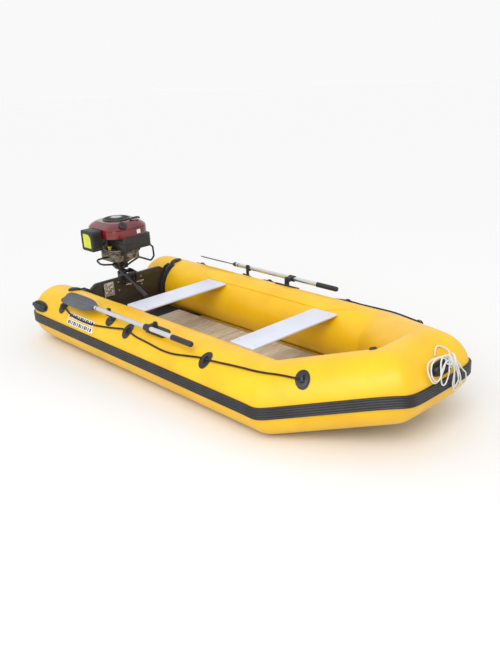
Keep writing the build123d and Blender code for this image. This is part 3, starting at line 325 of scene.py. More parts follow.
def scuffed_finish(name, light, dark, patch=6.0, grain=600.0, height=0.0002, rough=(0.3, 0.5)):
    """A material of the scuffed kind, with its own colours, grain and gloss."""
    finish, shader = new_finish(name)
    group = put(finish, "Group", {"node_tree": SCUFFED})
    group.inputs["Light"].default_value = (*light, 1)
    group.inputs["Dark"].default_value = (*dark, 1)
    group.inputs["Patch Scale"].default_value = patch
    group.inputs["Grain Scale"].default_value = grain
    group.inputs["Grain Height"].default_value = height
    group.inputs["Rough Low"].default_value = rough[0]
    group.inputs["Rough High"].default_value = rough[1]
    finish.node_tree.links.new(group.outputs["Color"], shader.inputs["Base Color"])
    finish.node_tree.links.new(group.outputs["Roughness"], shader.inputs["Roughness"])
    finish.node_tree.links.new(group.outputs["Normal"], shader.inputs["Normal"])
    return finish


line_black = scuffed_finish(
    "black_line", (0.022, 0.022, 0.024), (0.008, 0.008, 0.009), 40.0, 2500.0, 0.0006, (0.6, 0.85)
)
for side_name, side in (("starboard", -1), ("port", 1)):
    line = smooth_line("grab_line_path", grab_line_route(side))
    rope = laid_rope("rope_" + side_name, line, 3, STRAND_LAY, STRAND_OFF, STRAND_R)
    rope.data.materials.append(line_black)
    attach(rope, "hull")
    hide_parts("grab_line_" + side_name)

# --- Air chambers ---------------------------------------------------------------------
# One tube of glossy yellow coated fabric runs round the boat.  It is glued up from
# straight lengths that meet in mitred seams, and closed by a rounded cone at each stern.
STERN_X = -1.600
CONE_LENGTH = 0.193
SIDES_ROUND = 32
SMOOTH_SHRINK = (2 + cos(2 * pi / SIDES_ROUND)) / 3
CONE_STEPS = 7
STATION_GAP = 0.24
CORNER_ROOM = 0.11
SHOULDER_ROOM = 0.18
# How far before and after a mitre its two flanking sections lie, and their share of its turn
FLANK = [0.045, 0.060]
FLANK_SHARE = 0.72
YELLOW = (0.86, 0.52, 0.004, 1)
YELLOW_DEEP = (0.78, 0.42, 0.002, 1)


def section(centre, run, cut=None):
    """A matrix from a chamber's round section to the plane that cuts it."""
    out = Vector((run.y, -run.x, 0)).normalized()
    up = (Vector((0, 0, 1)) - run * run.z).normalized()
    if cut:
        out = out - run * out.dot(cut) / run.dot(cut)
        up = up - run * up.dot(cut) / run.dot(cut)
    matrix = Matrix((out, up, run)).transposed().to_4x4()
    matrix.translation = centre
    return matrix


def mitre(centre, before, after, flank):
    """The section in which two runs meet, between two that are partly turned to it."""
    cut = (before + after).normalized()
    one = section(centre, before, cut)
    two = section(centre, after, cut)
    early = section(centre - before * flank, before, before.lerp(cut, FLANK_SHARE).normalized())
    late = section(centre + after * flank, after, after.lerp(cut, FLANK_SHARE).normalized())
    return [early, (one + two) * 0.5, late]


def stations(start, end, first_gap, last_gap):
    """Evenly spread points from one place to another, short of both by a gap."""
    run = (end - start).normalized()
    length = (end - start).length - first_gap - last_gap
    count = max(1, round(length / STATION_GAP))
    return [start + run * (first_gap + length * step / count) for step in range(count + 1)]


def hull_sections():
    """The starboard half's sections, from the cone's base to the middle of the bow."""
    stern = Vector((STERN_X, -SIDE_Y, CHAMBER_R))
    corner = Vector((CORNER_X, -SIDE_Y, CHAMBER_R))
    shoulder = Vector((BOW_X, -BOW_HALF, BOW_Z))
    stem = Vector((BOW_X, 0, BOW_Z))
    ahead = Vector((1, 0, 0))
    slant = (shoulder - corner).normalized()
    across = Vector((0, 1, 0))
    rings = [section(at, ahead) for at in stations(stern, corner, 0, CORNER_ROOM)]
    rings += mitre(corner, ahead, slant, FLANK[0])
    quarter = stations(corner, shoulder, CORNER_ROOM, SHOULDER_ROOM)
    rings += [section(at, slant) for at in quarter]
    rings += mitre(shoulder, slant, across, FLANK[1])
    rings += [section(at, across) for at in (stem - across * 0.02, stem)]
    return rings


def bridge_rings(shape, loops):
    """Joins each loop of edges to the next with faces."""
    for one, two in zip(loops, loops[1:]):
        bmesh.ops.bridge_loops(shape, edges=one + two)


def ring_edges(shape, vertices):
    """The edges that join some vertices among themselves."""
    chosen = set(vertices)
    return [edge for edge in shape.edges if set(edge.verts) <= chosen]


def as_piece(name, shape, material, smooth=True, levels=0):
    """Turns a finished bmesh into an object of the scene."""
    mesh = bpy.data.meshes.new(name)
    for face in shape.faces:
        face.smooth = smooth
    shape.to_mesh(mesh)
    shape.free()
    mesh.materials.append(material)
    piece = bpy.data.objects.new(name, mesh)
    bpy.context.scene.collection.objects.link(piece)
    if levels:
        rounding = piece.modifiers.new("rounding", "SUBSURF")
        rounding.levels = levels
        rounding.render_levels = levels
    return piece


def mirrored_shut(shape):
    """Copies the starboard half to port, and makes every face look outwards."""
    bmesh.ops.mirror(
        shape, geom=shape.verts[:] + shape.edges[:] + shape.faces[:], axis="Y", merge_dist=0.0005
    )
    bmesh.ops.remove_doubles(shape, verts=shape.verts, dist=0.0005)
    bmesh.ops.recalc_face_normals(shape, faces=shape.faces)


def coated_fabric():
    """Glossy yellow coating over a fine weave, a little slack, with taped seams."""
    finish, shader = new_finish("yellow_fabric")
    place = put(finish, "TexCoord").outputs["Object"]
    slack = put(finish, "TexNoise", Vector=place, Scale=3.5, Detail=3.0)
    weave = put(finish, "TexNoise", Vector=place, Scale=900.0, Detail=2.0)
    tint = put(finish, "MapRange", _0=slack.outputs[0], _1=0.3, _2=0.75)
    mixed = put(finish, "Mix", {"data_type": "RGBA"}, _0=tint.outputs[0], _6=YELLOW, _7=YELLOW_DEEP)
    parts = put(finish, "SeparateXYZ", Vector=place)
    one_side = put(finish, "Math", {"operation": "ABSOLUTE"}, _0=parts.outputs["Y"])
    folded = put(
        finish, "CombineXYZ", X=parts.outputs["X"], Y=one_side.outputs[0], Z=parts.outputs["Z"]
    )
    slant = QUARTER_RUN.normalized()
    slant.y = -slant.y
    seams = [
        (Vector((STERN_X, SIDE_Y, CHAMBER_R)), Vector((1, 0, 0))),
        (Vector((CORNER_X, SIDE_Y, CHAMBER_R)), (Vector((1, 0, 0)) + slant).normalized()),
        (Vector((BOW_X, BOW_HALF, BOW_Z)), (slant + Vector((0, -1, 0))).normalized()),
    ]
    height = None
    for foot, cut in seams:
        away = put(finish, "VectorMath", {"operation": "SUBTRACT"}, _0=folded.outputs[0], _1=foot)
        along = put(finish, "VectorMath", {"operation": "DOT_PRODUCT"}, _0=away.outputs[0], _1=cut)
        off = put(finish, "Math", {"operation": "ABSOLUTE"}, _0=along.outputs["Value"])
        tape = put(finish, "MapRange", _0=off.outputs[0], _1=0.016, _2=0.0175, _3=1.0, _4=0.0)
        if height:
            tape = put(finish, "Math", {"operation": "MAXIMUM"}, _0=height, _1=tape.outputs[0])
        height = tape.outputs[0]
    soft = put(finish, "Bump", Strength=0.2, Distance=0.008, Height=slack.outputs[0])
    fine = put(finish, "Bump", Strength=0.3, Distance=0.0001, Height=weave.outputs[0])
    finish.node_tree.links.new(soft.outputs[0], fine.inputs["Normal"])
    taped = put(finish, "Bump", Strength=0.5, Distance=0.0012, Height=height)
    finish.node_tree.links.new(fine.outputs[0], taped.inputs["Normal"])
    finish.node_tree.links.new(mixed.outputs[2], shader.inputs["Base Color"])
    finish.node_tree.links.new(taped.outputs[0], shader.inputs["Normal"])
    gloss = put(finish, "MapRange", _0=slack.outputs[0], _3=0.34, _4=0.48)
    finish.node_tree.links.new(gloss.outputs[0], shader.inputs["Roughness"])
    return finish


yellow = coated_fabric()
tube = bmesh.new()
loops = []
for step in range(CONE_STEPS, 0, -1):
    turn = pi / 2 * step / (CONE_STEPS + 1)
    back = Vector((STERN_X - CONE_LENGTH * sin(turn), -SIDE_Y, CHAMBER_R))
    loops.append((section(back, Vector((1, 0, 0))), CHAMBER_R * cos(turn)))
loops += [(matrix, CHAMBER_R) for matrix in hull_sections()]
edges = []
for index, (matrix, radius) in enumerate(loops):
    ring = bmesh.ops.create_circle(
        tube, segments=SIDES_ROUND, radius=radius / SMOOTH_SHRINK, matrix=matrix, cap_ends=not index
    )
    edges.append(ring_edges(tube, ring["verts"]))
bridge_rings(tube, edges)
mirrored_shut(tube)
bmesh.ops.poke(tube, faces=[face for face in tube.faces if len(face.verts) > 4])
chambers = as_piece("air_chambers", tube, yellow, levels=2)
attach(chambers, "hull")
CHAMBER_NODES = ["tube", "bow_quarter", "stern_cone"]
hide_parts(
    "bow_tube",
    *[f"{node}_{side_name}" for node in CHAMBER_NODES for side_name in ("starboard", "port")],
)

# --- Rubbing strake -------------------------------------------------------------------
# An extruded black rubber strip with five ribs, glued round the widest line of the
# chambers from stern to stern.
STRAKE_HALF = 0.0395
STRAKE_T = 0.012
RIBS = 5
RIB_DIP = 0.0042
strake_profile = [(CHAMBER_R - 0.010, -STRAKE_HALF), (CHAMBER_R + 0.002, -STRAKE_HALF)]
for rib in range(RIBS):
    middle = -STRAKE_HALF + (rib + 0.5) * 2 * STRAKE_HALF / RIBS
    quarter = 0.5 * STRAKE_HALF / RIBS
    strake_profile.append((CHAMBER_R + STRAKE_T - RIB_DIP, middle - 1.8 * quarter))
    strake_profile.append((CHAMBER_R + STRAKE_T, middle - quarter))
    strake_profile.append((CHAMBER_R + STRAKE_T, middle + quarter))
    strake_profile.append((CHAMBER_R + STRAKE_T - RIB_DIP, middle + 1.8 * quarter))
strake_profile += [(CHAMBER_R + 0.002, STRAKE_HALF), (CHAMBER_R - 0.010, STRAKE_HALF)]
rubber = scuffed_finish(
    "black_rubber", (0.016, 0.016, 0.020), (0.008, 0.008, 0.010), 9.0, 900.0, 0.0003, (0.28, 0.45)
)


def strake_loop(shape, matrix):
    """One closed outline of the strip, placed by a section's matrix."""
    corners = [shape.verts.new(matrix @ Vector((out, up, 0))) for out, up in strake_profile]
    return [shape.edges.new(pair) for pair in zip(corners, corners[1:] + corners[:1])]


strip = bmesh.new()
loops = []
CONE_TURNS = 8
for step in range(CONE_TURNS, 0, -1):
    turn = pi / 2 * step / CONE_TURNS
    wrap = Matrix.Translation((STERN_X, -SIDE_Y, CHAMBER_R)) @ Matrix(
        (
            (-sin(turn) * CONE_LENGTH / CHAMBER_R, 0, cos(turn), 0),
            (-cos(turn), 0, -sin(turn), 0),
            (0, 1, 0, 0),
            (0, 0, 0, 1),
        )
    )
    loops.append(strake_loop(strip, wrap))
for matrix in hull_sections():
    loops.append(strake_loop(strip, matrix))
bridge_rings(strip, loops)
bmesh.ops.contextual_create(strip, geom=loops[0])
mirrored_shut(strip)
strake = as_piece("rubbing_strake", strip, rubber, levels=2)
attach(strake, "hull")
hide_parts("strake_starboard", "strake_port", "strake_bow")

# --- Bottom sheet ---------------------------------------------------------------------
# Dark coated fabric, glued between the chambers and pulled taut under the floor boards.
TRANSOM_AFT = -1.400
BOTTOM_HALF = 0.414
BOTTOM_FRONT_X = 1.410
BOTTOM_FRONT_HALF = 0.130
BOTTOM_TAPER_X = 0.925
BOTTOM_Z = 0.0535
BOTTOM_FRONT_Z = 0.171
BOTTOM_SAG = 0.003
bottom_shape = bmesh.new()
bmesh.ops.create_grid(bottom_shape, x_segments=56, y_segments=12, size=1)
for vertex in bottom_shape.verts:
    x = TRANSOM_AFT + (vertex.co.x + 1) / 2 * (BOTTOM_FRONT_X - TRANSOM_AFT)
    ahead = max(0.0, (x - BOTTOM_TAPER_X) / (BOTTOM_FRONT_X - BOTTOM_TAPER_X))
    half = BOTTOM_HALF + (BOTTOM_FRONT_HALF - BOTTOM_HALF) * ahead
    level_z = BOTTOM_Z + (BOTTOM_FRONT_Z - BOTTOM_Z) * ahead
    sag = BOTTOM_SAG * (1 - vertex.co.y**2) * (1 - ahead)
    vertex.co = (x, vertex.co.y * half, level_z - sag)
bottom_fabric = scuffed_finish(
    "bottom_fabric", (0.030, 0.030, 0.034), (0.016, 0.016, 0.018), 5.0, 1400.0, 0.0003, (0.5, 0.7)
)
bottom = as_piece("bottom_sheet", bottom_shape, bottom_fabric)
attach(bottom, "hull")
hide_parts("hull_bottom")

# --- Floor boards and stringers ---------------------------------------------------------
# Three boards of pale streaked plywood, with their grain athwart, drop into aluminium
# stringers that lock their joints.


def paint(finish, *nodes):
    """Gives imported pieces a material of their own."""
    for node in nodes:
        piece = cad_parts[node]
        for holder in piece.material_slots:
            holder.material = finish


def streaked_wood(name, pale, dark, line, across, rough):
    """Varnished veneer: broad streaks and fine pores along the grain."""
    finish, shader = new_finish(name)
    place = put(finish, "TexCoord").outputs["Object"]
    broad_map = put(finish, "Mapping", Vector=place, Scale=across)
    broad = put(finish, "TexNoise", Vector=broad_map.outputs[0], Scale=1.0, Detail=6.0, Distortion=1.2)
    fine_map = put(finish, "Mapping", Vector=place, Scale=[9 * part for part in across])
    fine = put(finish, "TexNoise", Vector=fine_map.outputs[0], Scale=1.0, Detail=4.0)
    spread = put(finish, "MapRange", _0=broad.outputs[0], _1=0.32, _2=0.66)
    base = put(finish, "Mix", {"data_type": "RGBA"}, _0=spread.outputs[0], _6=(*dark, 1), _7=(*pale, 1))
    pores = put(finish, "MapRange", _0=fine.outputs[0], _1=0.35, _2=0.5, _3=0.55, _4=0.0)
    mixed = put(
        finish, "Mix", {"data_type": "RGBA"}, _0=pores.outputs[0], _6=base.outputs[2], _7=(*line, 1)
    )
    finish.node_tree.links.new(mixed.outputs[2], shader.inputs["Base Color"])
    gloss = put(finish, "MapRange", _0=broad.outputs[0], _3=rough[0], _4=rough[1])
    finish.node_tree.links.new(gloss.outputs[0], shader.inputs["Roughness"])
    bump = put(finish, "Bump", Strength=0.4, Distance=0.0004, Height=fine.outputs[0])
    finish.node_tree.links.new(bump.outputs[0], shader.inputs["Normal"])
    return finish


board_wood = streaked_wood(
    "pale_plywood", (0.60, 0.55, 0.47), (0.42, 0.34, 0.25), (0.28, 0.21, 0.14), (9, 1.2, 9), (0.3, 0.45)
)
paint(board_wood, "floor_board_stern", "floor_board_middle", "floor_board_bow")


def brushed_metal(name, light, dark, along, rough):
    """Drawn aluminium or steel, with faint lines the way that it was drawn."""
    finish, shader = new_finish(name)
    place = put(finish, "TexCoord").outputs["Object"]
    drawn = put(finish, "Mapping", Vector=place, Scale=along)
    lines = put(finish, "TexNoise", Vector=drawn.outputs[0], Scale=1.0, Detail=3.0)
    cloud = put(finish, "TexNoise", Vector=place, Scale=14.0, Detail=4.0)
    mixed = put(finish, "Mix", {"data_type": "RGBA"}, _0=cloud.outputs[0], _6=(*light, 1), _7=(*dark, 1))
    finish.node_tree.links.new(mixed.outputs[2], shader.inputs["Base Color"])
    gloss = put(finish, "MapRange", _0=lines.outputs[0], _3=rough[0], _4=rough[1])
    finish.node_tree.links.new(gloss.outputs[0], shader.inputs["Roughness"])
    bump = put(finish, "Bump", Strength=0.15, Distance=0.0002, Height=lines.outputs[0])
    finish.node_tree.links.new(bump.outputs[0], shader.inputs["Normal"])
    shader.inputs["Metallic"].default_value = 1.0
    return finish


aluminium = brushed_metal(
    "drawn_aluminium", (0.80, 0.81, 0.83), (0.62, 0.63, 0.66), (4, 900, 900), (0.28, 0.45)
)
paint(aluminium, "stringer_starboard", "stringer_port", "oar_shaft_starboard", "oar_shaft_port")

# --- Transom, its holders and bolts -----------------------------------------------------
# A thick varnished plywood board that carries the motor, stained almost black.  Each end
# is held by a moulded rubber holder that is glued to the chamber.


def softened(node, body, material, width, levels=0, sharp=30):
    """A piece in place of a packed one, with its sharp edges rounded over."""
    shape = bmesh.new()
    shape.from_mesh(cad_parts[node].data)
    bmesh.ops.remove_doubles(shape, verts=shape.verts, dist=0.00003)
    bmesh.ops.dissolve_limit(
        shape, angle_limit=radians(0.5), verts=shape.verts[:], edges=shape.edges[:]
    )
    creases = [
        edge
        for edge in shape.edges
        if len(edge.link_faces) == 2 and edge.calc_face_angle() > radians(sharp)
    ]
    bmesh.ops.bevel(
        shape, geom=creases, offset=width, segments=3, profile=0.5, affect="EDGES", material=-1
    )
    for edge in shape.edges:
        if len(edge.link_faces) == 2:
            edge.smooth = edge.calc_face_angle() < radians(sharp + 10)
    piece = as_piece(node + "_finished", shape, material, levels=levels)
    piece.data.update()
    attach(piece, body)
    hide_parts(node)
    return piece


transom_wood = streaked_wood(
    "dark_plywood", (0.034, 0.029, 0.025), (0.016, 0.013, 0.011), (0.008, 0.007, 0.006),
    (9, 1.5, 9), (0.25, 0.42),
)
transom = softened("transom_board", "hull", transom_wood, 0.006)
moulded_rubber = scuffed_finish(
    "moulded_rubber", (0.020, 0.021, 0.025), (0.010, 0.010, 0.012), 14.0, 1100.0, 0.0003,
    (0.35, 0.55),
)
for side_name in ("starboard", "port"):
    holder = softened("transom_holder_" + side_name, "hull", moulded_rubber, 0.0015)
steel = brushed_metal("zinc_steel", (0.66, 0.66, 0.66), (0.45, 0.45, 0.46), (500, 500, 500), (0.2, 0.4))
paint(steel, "transom_bolts")

# --- Bench seats ------------------------------------------------------------------------
# Two painted aluminium planks with rolled edges, each held by two screws at either end.
SEATS = {"rear": -0.679, "front": 0.530}
SEAT_TOP = 0.418
SEAT_SCREWS = [(0.075, 0.372), (-0.075, 0.372)]
seat_paint = scuffed_finish(
    "seat_paint", (0.66, 0.69, 0.78), (0.58, 0.61, 0.71), 4.0, 1200.0, 0.0001, (0.3, 0.42)
)
for place, x in SEATS.items():
    seat = softened("seat_" + place, "seat_" + place, seat_paint, 0.004)
    screws = bmesh.new()
    for along, across in SEAT_SCREWS:
        for side in (-1, 1):
            at = Matrix.Translation((x + along, side * across, SEAT_TOP))
            bmesh.ops.create_cone(
                screws, cap_ends=True, segments=20, radius1=0.007, radius2=0.005, depth=0.003,
                matrix=at,
            )
    screws_piece = as_piece("seat_screws_" + place, screws, steel, smooth=False)
    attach(screws_piece, "seat_" + place)

# --- Seat flaps -------------------------------------------------------------------------
# A strip of the chamber's fabric, glued along its upper edge above the ends of the seats.
# Its lower edge is free, and it bows away from the chamber between the seats.
FLAP_X = (-0.978, 0.688)
FLAP_ANGLES = (56.5, 73.5)
FLAP_BOW = 0.0026
flap_length = FLAP_X[1] - FLAP_X[0]
for side_name, side in (("starboard", -1), ("port", 1)):
    flap_shape = bmesh.new()
    bmesh.ops.create_grid(flap_shape, x_segments=110, y_segments=10, size=0.5)
    for vertex in flap_shape.verts:
        along, high = vertex.co.x + 0.5, vertex.co.y + 0.5
        x = FLAP_X[0] + along * flap_length
        end = min(1.0, 9 * min(along, 1 - along))
        seated = min(abs(x - SEATS["rear"]), abs(x - SEATS["front"])) / 0.35
        angle = FLAP_ANGLES[0] + (1 - (1 - high) * end) * (FLAP_ANGLES[1] - FLAP_ANGLES[0])
        angle -= 1.2 * (1 - high) * end * (1 - min(1.0, seated))
        ripple = 0.5 + 0.5 * sin(31 * x) * cos(17 * x + 1)
        lift = 0.0008 + FLAP_BOW * (1 - high) ** 2 * (0.4 + 0.6 * ripple) * end
        reach = CHAMBER_R + lift
        vertex.co = (
            x,
            side * (SIDE_Y - reach * cos(radians(angle))),
            CHAMBER_R + reach * sin(radians(angle)),
        )
    if side > 0:
        bmesh.ops.reverse_faces(flap_shape, faces=flap_shape.faces)
    flap = as_piece("seat_flap_" + side_name, flap_shape, yellow)
    cloth = flap.modifiers.new("cloth", "SOLIDIFY")
    cloth.thickness = 0.0012
    cloth.offset = 1.0
    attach(flap, "hull")
    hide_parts("seat_rail_" + side_name)

# --- Line holders -----------------------------------------------------------------------
# Moulded rubber dishes, glued to the chambers, each with a raised loop for the line.
DISH_LONG = 0.066
DISH_SHORT = 0.048
DISH_RINGS = [
    (1.0, 0.0015), (0.97, 0.0055), (0.88, 0.0075), (0.80, 0.0050), (0.60, 0.0052), (0.42, 0.0085),
]
LOOP_HALF = 0.020
LOOP_RISE = 0.0235


def skin_frame(side, x, angle):
    """A matrix on a side chamber's skin: x along it, z away from it."""
    turn = radians(angle)
    away = Vector((0, side * cos(turn), sin(turn)))
    run = Vector((1, 0, 0))
    matrix = Matrix((run, away.cross(run), away)).transposed().to_4x4()
    matrix.translation = off_side(side, x, angle, 0)
    return matrix


def quarter_skin_frame(side, along, angle):
    """A matrix on a bow quarter's skin: x along it, z away from it."""
    run, out, up = quarter_frame(side)
    away = out * cos(radians(angle)) + up * sin(radians(angle))
    matrix = Matrix((run, away.cross(run), away)).transposed().to_4x4()
    matrix.translation = off_quarter(side, along, angle, 0)
    return matrix


def curve_down(shape, vertices, radius=CHAMBER_R):
    """Bends flat-built parts round a chamber, whose run is their x direction."""
    for vertex in vertices:
        turn = vertex.co.y / radius
        reach = radius + vertex.co.z
        vertex.co = (vertex.co.x, reach * sin(turn), reach * cos(turn) - radius)


def stacked_ovals(shape, profile, half, segments=32):
    """Bridged ovals, each a share of a half length and width at its own height."""
    rings = []
    made = []
    for share, lift in profile:
        place = Matrix.Translation((0, 0, lift))
        place = place @ Matrix.Diagonal((half[0] * share, half[1] * share, 1, 1))
        ring = bmesh.ops.create_circle(shape, segments=segments, radius=1, matrix=place)["verts"]
        rings.append(ring_edges(shape, ring))
        made += ring
    bridge_rings(shape, rings)
    return rings, made


def add_dish(shape, matrix):
    """One holder: a dished pad and the loop across it."""
    rings, made = stacked_ovals(shape, DISH_RINGS, (DISH_SHORT, DISH_LONG))
    bmesh.ops.contextual_create(shape, geom=rings[-1])
    bmesh.ops.contextual_create(shape, geom=rings[0])
    arch = []
    for step in range(9):
        turn = pi * step / 8
        at = Vector((0, -LOOP_HALF * cos(turn) * 1.15, 0.004 + LOOP_RISE * sin(turn) ** 0.7))
        wide = 0.011 + 0.004 * cos(turn) ** 2
        place = Matrix.Translation(at) @ Matrix.Rotation(-turn, 4, "X")
        place = place @ Matrix.Diagonal((wide, 0.0035, 1, 1)) @ Matrix.Rotation(pi / 8, 4, "Z")
        ring = bmesh.ops.create_circle(shape, segments=8, radius=1, matrix=place)["verts"]
        arch.append(ring_edges(shape, ring))
        made += ring
    bridge_rings(shape, arch)
    curve_down(shape, made)
    bmesh.ops.transform(shape, matrix=matrix, verts=made)


holders_shape = bmesh.new()
for side in (-1, 1):
    for x, angle in HOLDERS:
        add_dish(holders_shape, skin_frame(side, x, angle))
    add_dish(holders_shape, quarter_skin_frame(side, *QUARTER_HOLDER))
bmesh.ops.recalc_face_normals(holders_shape, faces=holders_shape.faces)
holders = as_piece("line_dishes", holders_shape, moulded_rubber, levels=1)
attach(holders, "hull")
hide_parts("line_holders")

# --- Handles and valves -------------------------------------------------------------------
# Moulded rubber carrying handles at both sterns and on the bow, and screw-in air valves.
HANDLE_RINGS = [(1.0, -0.004), (1.0, 0.005), (0.97, 0.0075), (0.90, 0.0085), (0.84, 0.0078)]
HANDLE_HALF = (0.1175, 0.046)
BAR_HALF = 0.086
BAR_RISE = 0.034
STERN_HANDLE = (-1.565, 27)
BOW_HANDLE = (0.020, 27)


def add_handle(shape, matrix):
    """An oval pad with a thick bar arched along it, flat-built about the matrix."""
    rings, made = stacked_ovals(shape, HANDLE_RINGS, HANDLE_HALF, segments=40)
    bmesh.ops.contextual_create(shape, geom=rings[0])
    bmesh.ops.contextual_create(shape, geom=rings[-1])
    bmesh.ops.transform(shape, matrix=matrix, verts=made)
    arch = []
    made = []
    for step in range(17):
        turn = pi * step / 16
        back = -BAR_HALF * (1 if cos(turn) > 0 else -1) * abs(cos(turn)) ** 0.55
        at = Vector((back, 0, 0.002 + BAR_RISE * sin(turn) ** 0.6))
        wide = 0.0155 + 0.003 * abs(cos(turn))
        place = Matrix.Translation(at) @ Matrix.Rotation(turn, 4, "Y")
        place = place @ Matrix.Diagonal((0.0120, wide, 1, 1))
        ring = bmesh.ops.create_circle(shape, segments=16, radius=1, matrix=place)["verts"]
        arch.append(ring_edges(shape, ring))
        made += ring
    bridge_rings(shape, arch)
    bmesh.ops.contextual_create(shape, geom=arch[0])
    bmesh.ops.contextual_create(shape, geom=arch[-1])
    bmesh.ops.transform(shape, matrix=matrix, verts=made)


stern_shape = bmesh.new()
for side in (-1, 1):
    add_handle(stern_shape, skin_frame(side, *STERN_HANDLE))
bow_shape = bmesh.new()
bow_lean = radians(BOW_HANDLE[1])
bow_away = Vector((cos(bow_lean), 0, sin(bow_lean)))
bow_run = Vector((0, 1, 0))
bow_place = Matrix((bow_run, bow_away.cross(bow_run), bow_away)).transposed().to_4x4()
bow_place.translation = off_bow(1000 * BOW_HANDLE[0], BOW_HANDLE[1], 0)
add_handle(bow_shape, bow_place)
for node, shape in (("stern_handles", stern_shape), ("bow_handle", bow_shape)):
    bmesh.ops.recalc_face_normals(shape, faces=shape.faces)
    handle = as_piece(node + "_finished", shape, moulded_rubber, levels=1)
    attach(handle, "hull")
    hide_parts(node)
black_plastic = scuffed_finish(
    "black_plastic", (0.024, 0.025, 0.028), (0.012, 0.012, 0.014), 16.0, 1500.0, 0.0002, (0.32, 0.5)
)
valves = softened("air_valves", "hull", black_plastic, 0.0015)

# --- Oars ---------------------------------------------------------------------------------
# Each oar is an aluminium tube with a moulded grey blade, a ribbed black grip, and a
# plastic collar that turns on the rowlock's pin.  A clip holds it along the chamber.
OAR_Y = 0.725
OAR_Z = 0.478
BLADE_NECK = -0.740
BLADE_LEAN = radians(25)
BLADE_OUTLINE = [
    (0.000, 0.020), (0.030, 0.030), (0.075, 0.053), (0.150, 0.0655), (0.260, 0.066),
    (0.400, 0.0655), (0.448, 0.058), (0.470, 0.042), (0.4745, 0.020),
]
BLADE_ACROSS = [-1, -0.93, -0.62, -0.42, -0.22, 0, 0.22, 0.42, 0.62, 0.93, 1]
blade_grey = scuffed_finish(
    "blade_grey", (0.070, 0.078, 0.095), (0.045, 0.050, 0.062), 7.0, 1300.0, 0.0002, (0.3, 0.45)
)
GRIP_X = (0.185, 0.390)
GRIP_RINGS = 18
for side_name, side in (("starboard", -1), ("port", 1)):
    blade_shape = bmesh.new()
    rows = []
    for back, half in BLADE_OUTLINE:
        row = []
        for share in BLADE_ACROSS:
            ridge = 0.006 * max(0.0, 1 - 4.5 * abs(share)) * (1 - back / 0.5)
            groove = 0.0012 * cos(9 * pi * share / 2) * min(1.0, back / 0.08)
            scoop = 0.004 * (1 - share * share) * min(1.0, back / 0.2)
            row.append(blade_shape.verts.new((-back, share * half, ridge + groove - scoop)))
        rows.append([blade_shape.edges.new(pair) for pair in zip(row, row[1:])])
    for one, two in zip(rows, rows[1:]):
        bmesh.ops.bridge_loops(blade_shape, edges=one + two)
    bmesh.ops.recalc_face_normals(blade_shape, faces=blade_shape.faces)
    bmesh.ops.solidify(blade_shape, geom=blade_shape.faces[:], thickness=0.0045)
    lean = Matrix.Rotation(-side * BLADE_LEAN, 4, "X")
    place = Matrix.Translation((BLADE_NECK, side * OAR_Y, OAR_Z)) @ lean
    bmesh.ops.transform(blade_shape, matrix=place, verts=blade_shape.verts)
    for start, end, low, high in ((-0.070, 0.0, 0.0195, 0.021), (0.0, 0.020, 0.021, 0.0185)):
        socket = Matrix.Translation((BLADE_NECK + (start + end) / 2, side * OAR_Y, OAR_Z))
        bmesh.ops.create_cone(
            blade_shape, cap_ends=True, segments=32, radius1=low, radius2=high, depth=end - start,
            matrix=socket @ Matrix.Rotation(pi / 2, 4, "Y"),
        )
    bmesh.ops.recalc_face_normals(blade_shape, faces=blade_shape.faces)
    blade = as_piece("blade_" + side_name, blade_shape, blade_grey, levels=2)
    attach(blade, "oar_" + side_name)
    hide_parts("oar_blade_" + side_name)

    grip_shape = bmesh.new()
    profile = [(GRIP_X[0], 0.0172), (GRIP_X[0], 0.0205)]
    gap = (GRIP_X[1] - GRIP_X[0] - 0.03) / GRIP_RINGS
    for ring in range(GRIP_RINGS):
        start = GRIP_X[0] + 0.008 + ring * gap
        profile += [(start, 0.0190), (start + gap * 0.3, 0.0200), (start + gap * 0.7, 0.0200)]
    profile += [(GRIP_X[1] - 0.016, 0.0190), (GRIP_X[1] - 0.012, 0.0200)]
    profile += [(GRIP_X[1] - 0.003, 0.0170), (GRIP_X[1], 0.0100), (GRIP_X[1], 0)]
    outline = [grip_shape.verts.new((x, side * OAR_Y, OAR_Z + reach)) for x, reach in profile]
    chain = [grip_shape.edges.new(pair) for pair in zip(outline, outline[1:])]
    bmesh.ops.spin(
        grip_shape, geom=outline + chain, cent=(0, side * OAR_Y, OAR_Z), axis=(1, 0, 0),
        angle=2 * pi, steps=28, use_merge=True,
    )
    bmesh.ops.remove_doubles(grip_shape, verts=grip_shape.verts, dist=0.00005)
    bmesh.ops.recalc_face_normals(grip_shape, faces=grip_shape.faces)
    grip = as_piece("grip_" + side_name, grip_shape, moulded_rubber)
    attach(grip, "oar_" + side_name)
    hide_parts("oar_grip_" + side_name)
    collar = softened("oar_collar_" + side_name, "oar_" + side_name, black_plastic, 0.0025)
for node in ("rowlocks", "oar_clips"):
    moulding = softened(node, "hull", black_plastic, 0.002)

